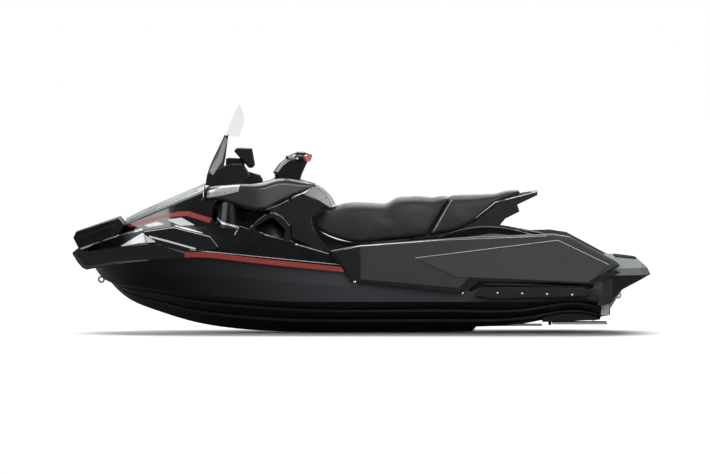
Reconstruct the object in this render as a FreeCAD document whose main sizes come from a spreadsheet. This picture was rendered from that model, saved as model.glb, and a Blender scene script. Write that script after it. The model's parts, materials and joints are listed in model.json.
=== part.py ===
"""Personal watercraft: a decked runabout hull with a jet pump, a two-piece saddle, tall side panels,
a bow storage bin, a small windscreen and a boarding step.

Frame: X runs aft, Y to starboard and Z up, in millimetres. The origin lies on the centreline at mid
length, on the waterline. Outlines are shares of the box that the named sizes give each piece.
"""
import FreeCAD, Part
import math
import os
import Sketcher

V = FreeCAD.Vector
X_AXIS, Y_AXIS, Z_AXIS = V(1, 0, 0), V(0, 1, 0), V(0, 0, 1)
doc = FreeCAD.newDocument("personal_watercraft")

# Driving dimensions, one cell each: alias, millimetres or degrees, meaning.
SIZES = [
    ("length_overall", 3580, "bow rail tip to aft lip"),
    ("beam", 1195, "over the side panels"),
    ("draft", 290, "keel to waterline"),
    ("overrun", 40, "how far cutting tools pass the faces they cut"),
    ("seat_gap", 0.3, "gap between pieces that rest on each other"),
    ("bond_gap", 2, "adhesive between hull and deck"),
    ("move_gap", 6, "gap round pieces that move"),
    ("pin_gap", 1.5, "radial gap round pivot pins"),
    ("hull_length", 3150, "first station to transom"),
    ("hull_depth", 496, "keel to highest point of the bond line"),
    ("hull_half_breadth", 572, "centreline to bond line amidships"),
    ("stem_setback", 122, "bow tip to first station"),
    ("strake_width", 38, "lifting strakes on the bottom"),
    ("chine_flat", 30, "flat under the chine"),
    ("bay_length", 320, "pump bay ahead of the transom"),
    ("bay_half_width", 125, "pump bay"),
    ("pump_axis_rise", 160, "keel to pump axis"),
    ("duct_length", 500, "intake duct ahead of the pump bay"),
    ("duct_half_width", 78, "intake duct"),
    ("engine_length", 760, "engine block"),
    ("engine_width", 330, "engine block"),
    ("engine_height", 430, "engine block"),
    ("engine_aft_gap", 940, "engine block to transom"),
    ("engine_rise", 95, "keel to engine block"),
    ("bay_wall_gap", 12, "engine block to its bay"),
    ("footwell_length", 1700, "footwell floor and toe ramp"),
    ("footwell_aft_gap", 90, "footwell to transom"),
    ("footwell_rise", 304, "keel to footwell floor"),
    ("footwell_inner", 226, "centreline to footwell floor"),
    ("footwell_width", 218, "footwell floor"),
    ("footwell_flare", 26, "how far each footwell wall leans out"),
    ("mat_thickness", 8, "footwell mats"),
    ("mat_margin", 14, "bare edge round each footwell mat"),
    ("mat_length", 1100, "footwell mats"),
    ("mat_setback", 2000, "bow tip to footwell mats"),
    ("spine_length", 2400, "pedestal"),
    ("spine_rise", 260, "keel to pedestal underside"),
    ("spine_height", 570, "pedestal"),
    ("spine_half_width", 339, "pedestal at its foot"),
    ("spine_root", 40, "pedestal underside over the bond line"),
    ("bin_length", 400, "storage bin"),
    ("bin_half_width", 190, "storage bin"),
    ("bin_setback", 408, "bow tip to storage bin"),
    ("bin_rise", 350, "keel to storage bin floor"),
    ("bin_wall", 6, "storage bin"),
    ("cowl_length", 630, "bow cowl"),
    ("cowl_setback", 283, "bow tip to bow cowl"),
    ("cowl_half_width", 366, "bow cowl at its foot"),
    ("cowl_rise", 533, "keel to bow cowl underside"),
    ("cowl_height", 347, "bow cowl"),
    ("lid_length", 487, "storage lid"),
    ("lid_setback", 335, "bow tip to storage lid"),
    ("lid_thickness", 46, "storage lid"),
    ("barrel_radius", 6, "lid hinge barrels"),
    ("hinge_pin", 3, "lid hinge pins"),
    ("hinge_lug", 14, "lid hinge lugs"),
    ("lid_hinge_half", 90, "storage lid hinge"),
    ("glove_hinge_half", 70, "glove lid hinge"),
    ("bow_rail_length", 705, "bow rail"),
    ("bow_rail_setback", 0, "bow tip to bow rail"),
    ("bow_rail_rise", 392, "keel to bow rail"),
    ("bow_rail_height", 166, "bow rail"),
    ("rail_thickness", 30, "bow rail and rub rails outside the hull"),
    ("rub_rail_height", 30, "rub rails"),
    ("wing_length", 455, "bow wings"),
    ("wing_setback", 455, "bow tip to bow wings"),
    ("wing_rise", 515, "keel to bow wings"),
    ("wing_height", 143, "bow wings"),
    ("wing_inset", 22, "bow wings inside the bow rail"),
    ("bumper_length", 321, "bow bumper"),
    ("bumper_setback", 9, "bow tip to bow bumper"),
    ("bumper_rise", 525, "keel to bow bumper"),
    ("bumper_height", 187, "bow bumper"),
    ("bumper_half_width", 330, "bow bumper"),
    ("console_length", 800, "console cover"),
    ("console_setback", 835, "bow tip to console cover"),
    ("console_half_width", 265, "console cover"),
    ("console_rise", 638, "keel to lowest edge of the console cover"),
    ("console_height", 324, "console cover"),
    ("console_radius", 40, "console cover corners"),
    ("knee_length", 428, "knee panels"),
    ("knee_setback", 1176, "bow tip to knee panels"),
    ("knee_rise", 505, "keel to knee panels"),
    ("knee_height", 351, "knee panels"),
    ("knee_half_width", 232, "knee panels"),
    ("knee_thickness", 110, "knee panels"),
    ("knee_radius", 12, "knee panel edges"),
    ("scoop_length", 264, "footwell scoops"),
    ("scoop_setback", 1096, "bow tip to footwell scoops"),
    ("scoop_rise", 550, "keel to footwell scoops"),
    ("scoop_height", 197, "footwell scoops"),
    ("scoop_half_width", 322, "footwell scoops"),
    ("scoop_thickness", 84, "footwell scoops"),
    ("glove_length", 198, "glove box and its surround"),
    ("glove_setback", 1435, "bow tip to glove box"),
    ("glove_rise", 660, "keel to glove box"),
    ("glove_height", 230, "glove box, surround and lid"),
    ("glove_half_width", 118, "glove box"),
    ("glove_wall", 12, "glove box"),
    ("surround_half_width", 140, "glove box surround"),
    ("shield_base_length", 277, "windscreen base"),
    ("shield_base_setback", 829, "bow tip to windscreen base"),
    ("shield_base_rise", 913, "keel to windscreen base"),
    ("shield_base_height", 131, "windscreen base"),
    ("shield_base_half", 185, "windscreen base"),
    ("shield_base_radius", 6, "windscreen base edges"),
    ("shield_frame_length", 165, "windscreen frame"),
    ("shield_frame_setback", 831, "bow tip to windscreen frame"),
    ("shield_frame_rise", 928, "keel to windscreen frame"),
    ("shield_frame_height", 293, "windscreen frame"),
    ("shield_frame_half", 185, "windscreen frame"),
    ("shield_frame_wall", 16, "windscreen frame"),
    ("shield_length", 124, "windscreen"),
    ("shield_setback", 941, "bow tip to windscreen"),
    ("shield_rise", 1195, "keel to windscreen"),
    ("shield_height", 218, "windscreen"),
    ("shield_half", 160, "windscreen"),
    ("shield_wall", 6, "windscreen"),
    ("display_length", 131, "display"),
    ("display_setback", 1002, "bow tip to display"),
    ("display_rise", 1018, "keel to display"),
    ("display_height", 125, "display"),
    ("display_half", 105, "display"),
    ("display_radius", 9, "display edges"),
    ("bracket_length", 118, "display bracket"),
    ("bracket_setback", 953, "bow tip to display bracket"),
    ("bracket_rise", 1020, "keel to display bracket"),
    ("bracket_height", 60, "display bracket"),
    ("bracket_half", 60, "display bracket"),
    ("pod_length", 130, "instrument pod"),
    ("pod_setback", 1052, "bow tip to instrument pod"),
    ("pod_rise", 890, "keel to instrument pod"),
    ("pod_height", 108, "instrument pod"),
    ("pod_half", 95, "instrument pod"),
    ("pod_radius", 10, "instrument pod edges"),
    ("seat_length", 868, "front seat"),
    ("seat_setback", 1468, "bow tip to front seat"),
    ("seat_rise", 558, "keel to front seat"),
    ("seat_height", 286, "front seat"),
    ("seat_half_width", 205, "both seats"),
    ("seat_radius", 55, "seat edges"),
    ("rear_seat_length", 585, "rear seat"),
    ("rear_seat_setback", 2199, "bow tip to rear seat"),
    ("rear_seat_rise", 601, "keel to rear seat"),
    ("rear_seat_height", 281, "rear seat"),
    ("seam_gap", 4, "front seat to rear seat"),
    ("grab_length", 403, "grab rail"),
    ("grab_setback", 2478, "bow tip to grab rail"),
    ("grab_rise", 620, "keel to grab rail"),
    ("grab_height", 255, "grab rail"),
    ("grab_half_width", 165, "grab rail"),
    ("grab_bar", 36, "grab rail round its hand gap"),
    ("hand_gap", 64, "hand gap in the grab rail"),
    ("panel_length", 1781, "side panels"),
    ("panel_setback", 1602, "bow tip to side panels"),
    ("panel_rise", 279, "keel to side panels"),
    ("panel_height", 343, "side panels"),
    ("panel_thickness", 92, "side panels above the gunwale"),
    ("panel_radius", 14, "side panel outer edges"),
    ("inset_depth", 8, "side panel insets"),
    ("inset_thickness", 5, "side panel insets"),
    ("trim_length", 1693, "side trims"),
    ("trim_setback", 1691, "bow tip to side trims"),
    ("trim_rise", 262, "keel to side trims"),
    ("trim_height", 124, "side trims"),
    ("trim_depth", 70, "side trims"),
    ("sponson_length", 701, "sponsons"),
    ("sponson_setback", 2497, "bow tip to sponsons"),
    ("sponson_rise", 219, "keel to sponsons"),
    ("sponson_height", 80, "sponsons"),
    ("sponson_depth", 96, "sponsons"),
    ("sponson_radius", 8, "sponson outer edges"),
    ("aft_length", 330, "aft platform"),
    ("aft_setback", 3247, "bow tip to aft platform"),
    ("aft_rise", 180, "keel to aft platform"),
    ("aft_height", 291, "aft platform"),
    ("aft_half_width", 520, "aft platform"),
    ("aft_corner", 120, "aft platform corners"),
    ("channel_half_width", 205, "channel under the aft platform"),
    ("channel_rise", 335, "keel to roof of that channel"),
    ("flange_radius", 118, "pump flange"),
    ("flange_thickness", 18, "pump flange"),
    ("pump_length", 268, "pump housing"),
    ("barrel_length", 165, "straight part of the pump housing"),
    ("cone_lip", 20, "straight lip of the pump outlet"),
    ("pump_radius", 88, "pump housing"),
    ("pump_bore", 78, "pump housing"),
    ("outlet_radius", 46, "pump outlet bore"),
    ("outlet_wall", 6, "pump outlet"),
    ("vane_thickness", 5, "stator vanes"),
    ("vane_length", 44, "stator vanes"),
    ("hub_radius", 30, "impeller and stator hubs"),
    ("stator_hub_length", 60, "straight part of the stator hub"),
    ("stator_cone_length", 50, "stator tail cone"),
    ("stator_tip_radius", 8, "stator tail cone"),
    ("impeller_length", 80, "impeller"),
    ("impeller_radius", 72, "impeller"),
    ("impeller_front_gap", 33, "pump bay wall to impeller"),
    ("impeller_aft_gap", 10, "impeller to stator"),
    ("blade_thickness", 7, "impeller blades"),
    ("blade_root", 5, "impeller blades inside their hub and short of its ends"),
    ("shaft_radius", 14, "drive shaft"),
    ("shaft_clearance", 2, "drive shaft in its bores"),
    ("shaft_bearing", 24, "drive shaft inside the engine and the stator hub"),
    ("nozzle_length", 109, "steering nozzle"),
    ("nozzle_front", 4, "steering nozzle ahead of its pivot"),
    ("nozzle_collar", 20, "straight collar of the steering nozzle"),
    ("nozzle_radius", 66, "steering nozzle inlet"),
    ("nozzle_outlet", 50, "steering nozzle outlet"),
    ("nozzle_wall", 6, "steering nozzle"),
    ("nozzle_setback", 42, "transom to steering pivot"),
    ("pin_radius", 6, "steering nozzle pins"),
    ("pin_length", 24, "steering nozzle pins"),
    ("lug_half_width", 14, "steering nozzle lugs"),
    ("lug_thickness", 10, "steering nozzle lugs"),
    ("bucket_setback", 97, "transom to bucket pivot"),
    ("bucket_radius", 186, "reverse bucket"),
    ("bucket_wall", 8, "reverse bucket"),
    ("bucket_half_width", 108, "reverse bucket"),
    ("bucket_low_angle", 22, "reverse bucket lower edge when raised"),
    ("bucket_high_angle", 68, "reverse bucket upper edge when raised"),
    ("boss_radius", 12, "bucket pivot bosses"),
    ("boss_root", 4, "bucket pivot bosses outside the outlet bore"),
    ("plate_length", 340, "ride plate"),
    ("plate_rise", 50, "keel to ride plate"),
    ("plate_thickness", 14, "ride plate"),
    ("plate_radius", 5, "ride plate edges"),
    ("grate_length", 380, "intake grate"),
    ("grate_rise", 38, "keel to intake grate"),
    ("grate_thickness", 12, "intake grate"),
    ("grate_bar", 14, "intake grate bars"),
    ("step_reach", 203, "boarding step arms"),
    ("step_tube", 11, "boarding step tube radius"),
    ("step_half_width", 170, "boarding step"),
    ("step_angle", 58, "boarding step slope when stowed"),
    ("step_rise", 130, "keel to boarding step pivot"),
    ("step_setback", 34, "transom to boarding step pivot"),
    ("step_plate", 10, "step bracket plates"),
    ("step_plate_height", 100, "step bracket plates"),
    ("step_plate_drop", 20, "pivot to underside of the step bracket plates"),
    ("eye_radius", 22, "bow eye and stern eyes"),
    ("eye_bore", 11, "bow eye and stern eyes"),
    ("eye_thickness", 12, "bow eye and stern eyes"),
    ("bow_eye_setback", 180, "bow tip to bow eye"),
    ("bow_eye_rise", 326, "keel to bow eye"),
    ("bow_eye_arm", 90, "bow eye stalk"),
    ("bow_eye_slope", 38, "bow eye stalk"),
    ("stern_eye_y", 300, "centreline to stern eyes"),
    ("stern_eye_setback", 3375, "bow tip to stern eyes"),
    ("stern_eye_rise", 238, "keel to stern eyes"),
    ("stern_eye_arm", 70, "stern eye stalks"),
    ("stern_eye_slope", 100, "stern eye stalks"),
    ("column_tilt", 24, "steering column off the vertical"),
    ("column_setback", 1325, "bow tip to steering column"),
    ("column_rise", 945, "keel to steering column top"),
    ("column_radius", 62, "steering column boss"),
    ("column_length", 60, "steering column boss"),
    ("stem_depth", 48, "handlebar stem inside the column"),
    ("turn_room_radius", 134, "room round the steering cover"),
    ("stem_foot_gap", 10, "handlebar stem to the foot of its bore"),
    ("stem_radius", 16, "handlebar stem"),
    ("stem_height", 128, "handlebar stem"),
    ("cover_length", 226, "steering cover"),
    ("cover_setback", 1239, "bow tip to steering cover"),
    ("cover_rise", 960, "keel to steering cover"),
    ("cover_height", 158, "steering cover"),
    ("cover_half_width", 80, "steering cover"),
    ("cover_radius", 12, "steering cover edges"),
    ("bar_setback", 1335, "bow tip to handlebar centre"),
    ("bar_rise", 1083, "keel to handlebar"),
    ("bar_radius", 12, "handlebar"),
    ("bar_straight", 110, "straight middle of the handlebar, each side"),
    ("bar_sweep", 128, "how far the handlebar ends sweep aft"),
    ("bar_half_width", 360, "handlebar"),
    ("grip_length", 135, "grips"),
    ("grip_radius", 18, "grips"),
    ("grip_end_length", 20, "grip ends"),
    ("grip_end_radius", 21, "grip ends"),
    ("lever_reach", 52, "handlebar to levers"),
    ("lever_length", 150, "levers"),
    ("lever_thickness", 12, "levers"),
    ("lever_clamp", 30, "lever clamps"),
]
sheet = doc.addObject("Spreadsheet::Sheet", "Sizes")
for row, (alias, value, meaning) in enumerate(SIZES, start=1):
    sheet.set(f"A{row}", meaning)
    sheet.set(f"B{row}", str(value))
    sheet.setAlias(f"B{row}", alias)
doc.recompute()


class Length:
    """A length as a sum of shares of named sizes, so that a feature can be bound to the sheet."""

    def __init__(self, shares):
        self.shares = shares

    def __float__(self):
        return float(sum(share * float(sheet.get(alias)) for alias, share in self.shares.items()))

    def __add__(self, other):
        total = dict(self.shares)
        for alias, share in getattr(other, "shares", {}).items():
            total[alias] = total.get(alias, 0) + share
        return Length(total)

    __radd__ = __add__

    def __neg__(self):
        return self * -1

    def __sub__(self, other):
        return self + (-1 * other)

    def __mul__(self, share):
        return Length({alias: own * share for alias, own in self.shares.items()})

    __rmul__ = __mul__

    def __truediv__(self, other):
        return float(self) / float(other) if isinstance(other, Length) else self * (1 / other)

    def __lt__(self, other):
        return float(self) < float(other)

    def __gt__(self, other):
        return float(self) > float(other)

    def text(self):
        return " + ".join(f"{share:.9f} * Sizes.{alias}" for alias, share in self.shares.items())


def size(alias):
    return Length({alias: 1})


def angle(alias):
    return math.radians(float(size(alias)))


# Features of the document, bound to the sheet.
def bind(feature, **lengths):
    for key, value in lengths.items():
        feature.setExpression(key, value.text())
    return feature


def place(feature, x, y, z, turn=None):
    """Puts a feature at a named place, turned by an optional rotation."""
    feature.Placement = FreeCAD.Placement(V(0, 0, 0), turn or FreeCAD.Rotation())
    for axis, value in zip("xyz", (x, y, z)):
        if isinstance(value, Length):
            feature.setExpression("Placement.Base." + axis, value.text())
    return feature


def box(name, x, y, z, length, width, height, turn=None):
    feature = bind(doc.addObject("Part::Box", name), Length=length, Width=width, Height=height)
    return place(feature, x, y, z, turn)


def cylinder(name, x, y, z, radius, height, axis=Z_AXIS):
    feature = bind(doc.addObject("Part::Cylinder", name), Radius=radius, Height=height)
    return place(feature, x, y, z, FreeCAD.Rotation(Z_AXIS, axis))


def fuse(name, shapes):
    feature = doc.addObject("Part::MultiFuse", name)
    feature.Shapes = shapes
    return feature


def cut(name, base, *tools):
    """One piece less its neighbours or cutting tools."""
    feature = doc.addObject("Part::Cut", name)
    feature.Base = base
    feature.Tool = tools[0] if len(tools) == 1 else fuse(name + "_tools", list(tools))
    return feature


def common(name, base, tool):
    feature = doc.addObject("Part::Common", name)
    feature.Base, feature.Tool = base, tool
    return feature


def mirror(source):
    feature = doc.addObject("Part::Mirroring", source.Name + "_starboard")
    feature.Source = source
    feature.Normal = Y_AXIS
    return feature


def pair(name, source):
    """A port piece and its starboard twin."""
    feature = doc.addObject("Part::Compound", name)
    feature.Links = [source, mirror(source)]
    return feature


def new_body(name, x=0, y=0, z=0, turn=None):
    return place(doc.addObject("PartDesign::Body", name), x, y, z, turn)


def origin_feature(body, role):
    return next(feature for feature in body.Origin.OriginFeatures if feature.Role == role)


def sketch_on(body, name, role, points, offset=None, closed=True):
    """A sketch of straight lines on one of the body's planes, each corner bound to the sheet."""
    sketch = body.newObject("Sketcher::SketchObject", name)
    sketch.AttachmentSupport = (origin_feature(body, role), "")
    sketch.MapMode = "FlatFace"
    if offset is not None:
        sketch.setExpression("AttachmentOffset.Base.z", offset.text())
    corners = [V(float(a), float(b), 0) for a, b in points]
    ends = corners[1:] + corners[:1] if closed else corners[1:]
    sketch.addGeometry([Part.LineSegment(a, b) for a, b in zip(corners, ends)])
    count = len(ends)
    for i in range(count if closed else count - 1):
        sketch.addConstraint(Sketcher.Constraint("Coincident", i, 2, (i + 1) % count, 1))
    for i, point in enumerate(points):
        line, end = (i, 1) if i < count else (i - 1, 2)
        for kind, value in zip(("DistanceX", "DistanceY"), point):
            index = sketch.addConstraint(Sketcher.Constraint(kind, -1, 1, line, end, float(value)))
            if isinstance(value, Length):
                sketch.setExpression(f"Constraints[{index}]", value.text())
    return sketch


def pad(body, sketch, length, name="pad"):
    feature = body.newObject("PartDesign::Pad", name)
    feature.Profile = sketch
    bind(feature, Length=length)
    doc.recompute()
    return feature


def pocket(body, sketch, length=None, name="pocket"):
    """Cuts a sketch's outline out of the body, right through both ways where no depth is given."""
    feature = body.newObject("PartDesign::Pocket", name)
    feature.Profile = sketch
    if length is None:
        feature.Type = 1
        feature.Midplane = True
    else:
        bind(feature, Length=length)
    doc.recompute()
    return feature


def revolution(body, points, name="turned"):
    """A ring about the body's X axis, from points of distance aft and radius."""
    feature = body.newObject("PartDesign::Revolution", name)
    feature.Profile = sketch_on(body, name + "_profile", "XZ_Plane", points)
    feature.ReferenceAxis = (feature.Profile[0], ["H_Axis"])
    doc.recompute()
    return feature


def round_pattern(body, feature, count):
    pattern = body.newObject("PartDesign::PolarPattern", feature.Name + "_pattern")
    pattern.Originals = [feature]
    pattern.Axis = (origin_feature(body, "X_Axis"), [""])
    pattern.Angle = 360
    pattern.Occurrences = count
    body.Tip = pattern
    doc.recompute()
    return pattern


def round_edges(body, feature, radius, chosen):
    """Rounds the edges of a feature whose every end passes the test."""
    names = [
        f"Edge{i}" for i, edge in enumerate(feature.Shape.Edges, start=1)
        if all(chosen(vertex.Point) for vertex in edge.Vertexes)
    ]
    fillet = body.newObject("PartDesign::Fillet", "rounded")
    fillet.Base = (feature, names)
    bind(fillet, Radius=radius)
    doc.recompute()
    return fillet


def station_loft(name, stations):
    """A body lofted through cross sections: each a place along X and a list of Y and Z."""
    body = new_body(name)
    sketches = [
        sketch_on(body, f"{name}_station_{i}", "YZ_Plane", points, x)
        for i, (x, points) in enumerate(stations)
    ]
    loft = body.newObject("PartDesign::AdditiveLoft", name + "_loft")
    loft.Profile = sketches[0]
    loft.Sections = sketches[1:]
    doc.recompute()
    return body


def outline(shares, left, base, width, height):
    """Points of an outline given as shares of its box."""
    return [(left + u * width, base + v * height) for u, v in shares]


def box_outline(prefix, shares):
    """A piece's side outline, from its setback, rise, length and height."""
    return outline(
        shares, bow_x + size(prefix + "_setback"), keel_z + size(prefix + "_rise"),
        size(prefix + "_length"), size(prefix + "_height"),
    )


def side_body(name, prefix, shares, y, depth):
    """A body padded from a side outline: its starboard face lies at y and it reaches to port."""
    body = new_body(name, bow_x + size(prefix + "_setback"), y, keel_z + size(prefix + "_rise"))
    points = [(u * size(prefix + "_length"), v * size(prefix + "_height")) for u, v in shares]
    pad(body, sketch_on(body, name + "_outline", "XZ_Plane", points), depth, name + "_pad")
    return body


def across_body(name, prefix, shares, half):
    return side_body(name, prefix, shares, half, 2 * half)


# Shapes for the pieces that no feature makes: twisted lofts and forms wrapped round the bow.
def side_prism(points, y_low, y_high):
    """A side view outline of X and Z, extruded across the boat."""
    corners = [V(x, y_low, z) for x, z in points + points[:1]]
    return Part.Face(Part.makePolygon(corners)).extrude(V(0, y_high - y_low, 0))


def plan_prism(points, z_low, z_high):
    """A plan outline of X and Y, extruded upwards."""
    corners = [V(x, y, z_low) for x, y in points + points[:1]]
    return Part.Face(Part.makePolygon(corners)).extrude(V(0, 0, z_high - z_low))


def both_sides(points):
    """A half outline from one centreline point to the other, closed by its mirror image."""
    return points + [(a, -1 * b) for a, b in reversed(points) if abs(float(b)) > 0]


def mirrored_ring(half):
    """Corners of a closed cross section from its starboard half, bottom to top."""
    return half + [(-1 * y, z) for y, z in reversed(half) if float(y) > 0]


def section(x, half):
    ring = mirrored_ring(half)
    return Part.makePolygon([V(x, y, z) for y, z in ring + ring[:1]])


def rounded_section(x, half_width, low, high, low_radius, high_radius):
    """A closed wire across the boat: a rectangle with rounded corners."""
    x, w, low, high = float(x), float(half_width), float(low), float(high)
    quarter = math.sqrt(2) / 2
    corners = [
        (w, low, low_radius, 1, -1),
        (w, high, high_radius, 1, 1),
        (-w, high, high_radius, -1, 1),
        (-w, low, low_radius, -1, -1),
    ]
    ends = []
    for y, z, r, sy, sz in corners:
        cy, cz = y - sy * r, z - sz * r
        first = (cy, z) if sy * sz < 0 else (y, cz)
        last = (y, cz) if sy * sz < 0 else (cy, z)
        middle = (cy + sy * r * quarter, cz + sz * r * quarter)
        ends.append((first, middle, last))
    edges = []
    for i, (first, middle, last) in enumerate(ends):
        a, m, b = (V(x, *p) for p in (first, middle, last))
        edges.append(Part.Arc(a, m, b).toShape())
        following = ends[(i + 1) % len(ends)][0]
        edges.append(Part.makeLine(b, V(x, *following)))
    return Part.Wire(edges)


def crescent(z, front, back, half, wall):
    """A closed wire in plan: an arc round the front of a windscreen and its inner face."""
    outer = Part.Arc(V(back, -1 * half, z), V(front, 0, z), V(back, half, z)).toShape()
    inner = Part.Arc(V(back, half - wall, z), V(front + wall, 0, z), V(back, wall - half, z)).toShape()
    corners = [V(back, half, z), V(back, half - wall, z), V(back, wall - half, z), V(back, -1 * half, z)]
    return Part.Wire([outer, Part.makeLine(*corners[:2]), inner, Part.makeLine(*corners[2:])])


def shaped(name, shape):
    """A sub-part whose shape is made directly: the main solid of what is given."""
    feature = doc.addObject("Part::Feature", name)
    feature.Shape = max(shape.Solids, key=lambda solid: solid.Volume)
    return feature


published = {}


def publish(name, feature):
    """Marks a feature as a sub-part, under its own label."""
    feature.Label = name
    published[name] = feature
    return feature


length = size("length_overall")
half_beam = size("beam") / 2
keel_z = -size("draft")
overrun = size("overrun")
move_gap = size("move_gap")
seat_gap = size("seat_gap")
bow_x = -length / 2
stem_x = bow_x + size("stem_setback")
hull_length = size("hull_length")
hull_depth = size("hull_depth")
hull_half = size("hull_half_breadth")
transom_x = stem_x + hull_length


# Hull: stations along the length, with keel, chine and bond line in shares of depth and half breadth.
STATION_SHARES = [0, 0.041, 0.077, 0.124, 0.193, 0.291, 0.409, 0.567, 0.724, 0.862, 1]
KEEL_SHARES = [0.875, 0.594, 0.4, 0.275, 0.138, 0.038, 0, 0, 0.006, 0.07, 0.09]
CHINE_RISE_SHARES = [0.888, 0.62, 0.6, 0.587, 0.531, 0.481, 0.428, 0.413, 0.413, 0.413, 0.413]
CHINE_HALF_SHARES = [0.053, 0.18, 0.335, 0.507, 0.673, 0.783, 0.839, 0.86, 0.869, 0.869, 0.86]
BOND_RISE_SHARES = [0.938, 0.925, 0.931, 0.944, 0.994, 0.95, 0.869, 0.775, 0.738, 0.725, 0.725]
BOND_HALF_SHARES = [0.332, 0.524, 0.65, 0.769, 0.883, 0.965, 0.993, 1, 1, 0.997, 0.983]
DECK_RISE_SHARES = [1.09, 1.19, 1.25, 1.31, 1.344, 1.306, 1.119, 0.963, 0.95, 0.938, 0.925]
DECK_HALF_SHARES = [0.26, 0.45, 0.58, 0.69, 0.795, 0.853, 0.897, 0.921, 0.927, 0.927, 0.909]
STRAKE_SHARES = [0.34, 0.66]
KNUCKLE_SHARE = 0.5
KNUCKLE_BULGE_SHARE = 0.03
STATIONS = range(len(STATION_SHARES))


def station_x(i):
    return stem_x + STATION_SHARES[i] * hull_length


def chine_point(i):
    return (CHINE_HALF_SHARES[i] * hull_half, keel_z + CHINE_RISE_SHARES[i] * hull_depth)


def bond_point(i):
    return (BOND_HALF_SHARES[i] * hull_half, keel_z + BOND_RISE_SHARES[i] * hull_depth)


def deck_point(i):
    return (DECK_HALF_SHARES[i] * hull_half, keel_z + DECK_RISE_SHARES[i] * hull_depth)


def knuckle_point(i):
    (chine_y, chine_z), (bond_y, bond_z) = chine_point(i), bond_point(i)
    bulge = KNUCKLE_BULGE_SHARE * bond_y
    knuckle_y = chine_y + KNUCKLE_SHARE * (bond_y - chine_y) + bulge
    return knuckle_y, chine_z + KNUCKLE_SHARE * (bond_z - chine_z)


def hull_half_section(i):
    """Keel, two lifting strakes, chine flat, side knuckle and bond line."""
    keel = keel_z + KEEL_SHARES[i] * hull_depth
    chine_y, chine_z = chine_point(i)
    slope = (chine_z - keel) / chine_y
    fullness = CHINE_HALF_SHARES[i] / max(CHINE_HALF_SHARES)
    strake = fullness * size("strake_width")
    flat = fullness * size("chine_flat")
    half = [(0, keel)]
    for share in STRAKE_SHARES:
        y = share * chine_y
        half.append((y, keel + slope * y))
        half.append((y + strake, keel + slope * y))
        half.append((y + strake, keel + slope * (y + strake)))
    half.append((chine_y - flat, chine_z - slope * flat))
    half.append((chine_y, chine_z - slope * flat))
    return half + [knuckle_point(i), bond_point(i)]


hull_rings = [(station_x(i), mirrored_ring(hull_half_section(i))) for i in STATIONS]
hull_form = station_loft("hull_form", hull_rings)

# Pump bay: a tunnel with a round roof, open at the transom and the bottom, and room for the bucket.
bay_length, bay_half = size("bay_length"), size("bay_half_width")
bay_front = transom_x - bay_length
pump_z = keel_z + size("pump_axis_rise")
bay = box(
    "pump_bay", bay_front, -bay_half, keel_z - overrun, bay_length + overrun, 2 * bay_half,
    size("pump_axis_rise") + overrun,
)
bay_roof = cylinder("pump_bay_roof", bay_front, 0, pump_z, bay_half, bay_length + overrun, X_AXIS)
bucket_x = transom_x - size("bucket_setback")
bucket_half, bucket_radius = size("bucket_half_width"), size("bucket_radius")
swing = cylinder(
    "bucket_room", bucket_x, -bucket_half - move_gap, pump_z, bucket_radius + move_gap + move_gap / 2,
    2 * (bucket_half + move_gap), Y_AXIS,
)

# Intake duct: rises aft from the bottom to the pump.
DUCT_SHARES = [(0, 0), (0.12, 0.34), (0.62, 0.78), (1, 1), (1, 0.36), (0.9, 0.16), (0.8, 0)]
duct_length, duct_half = size("duct_length"), size("duct_half_width")
duct_rise = size("pump_axis_rise") + duct_half + overrun
duct = new_body("intake_duct", bay_front - duct_length, duct_half, keel_z - overrun)
duct_side = [(u * (duct_length + overrun), v * duct_rise) for u, v in DUCT_SHARES]
pad(duct, sketch_on(duct, "duct_outline", "XZ_Plane", duct_side), 2 * duct_half)

# Engine block in its bay, which the hull and the pedestal share, and the drive shaft.
engine_length, engine_half = size("engine_length"), size("engine_width") / 2
engine_front = transom_x - size("engine_aft_gap") - engine_length
engine_aft = engine_front + engine_length
engine_z = keel_z + size("engine_rise")
wall_gap = size("bay_wall_gap")
engine_bay = box(
    "engine_bay", engine_front - wall_gap, -engine_half - wall_gap, engine_z, engine_length + 2 * wall_gap,
    2 * (engine_half + wall_gap), size("engine_height") + wall_gap,
)
impeller_x = bay_front + size("impeller_front_gap")
stator_x = impeller_x + size("impeller_length") + size("impeller_aft_gap")
shaft_radius, bearing = size("shaft_radius"), size("shaft_bearing")
shaft_room = shaft_radius + size("shaft_clearance")
shaft_start = engine_aft - bearing
shaft_length = stator_x + bearing - shaft_start
shaft_bore = cylinder(
    "shaft_bore", shaft_start - size("shaft_clearance"), 0, pump_z, shaft_room,
    shaft_length + 2 * size("shaft_clearance"), X_AXIS,
)
engine_block = box(
    "engine_block", engine_front, -engine_half, engine_z, engine_length, 2 * engine_half,
    size("engine_height"),
)
publish("engine", cut("engine", engine_block, shaft_bore))
publish("drive_shaft", cylinder("drive_shaft", shaft_start, 0, pump_z, shaft_radius, shaft_length, X_AXIS))

# Storage bin pocket through the hull and the bow deck.
bin_length, bin_half, bin_wall = size("bin_length"), size("bin_half_width"), size("bin_wall")
bin_front = bow_x + size("bin_setback")
bin_z = keel_z + size("bin_rise")
over_top = keel_z + size("cowl_rise") + 2 * size("cowl_height")
bin_pocket = box("bin_pocket", bin_front, -bin_half, bin_z, bin_length, 2 * bin_half, over_top - bin_z)

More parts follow.
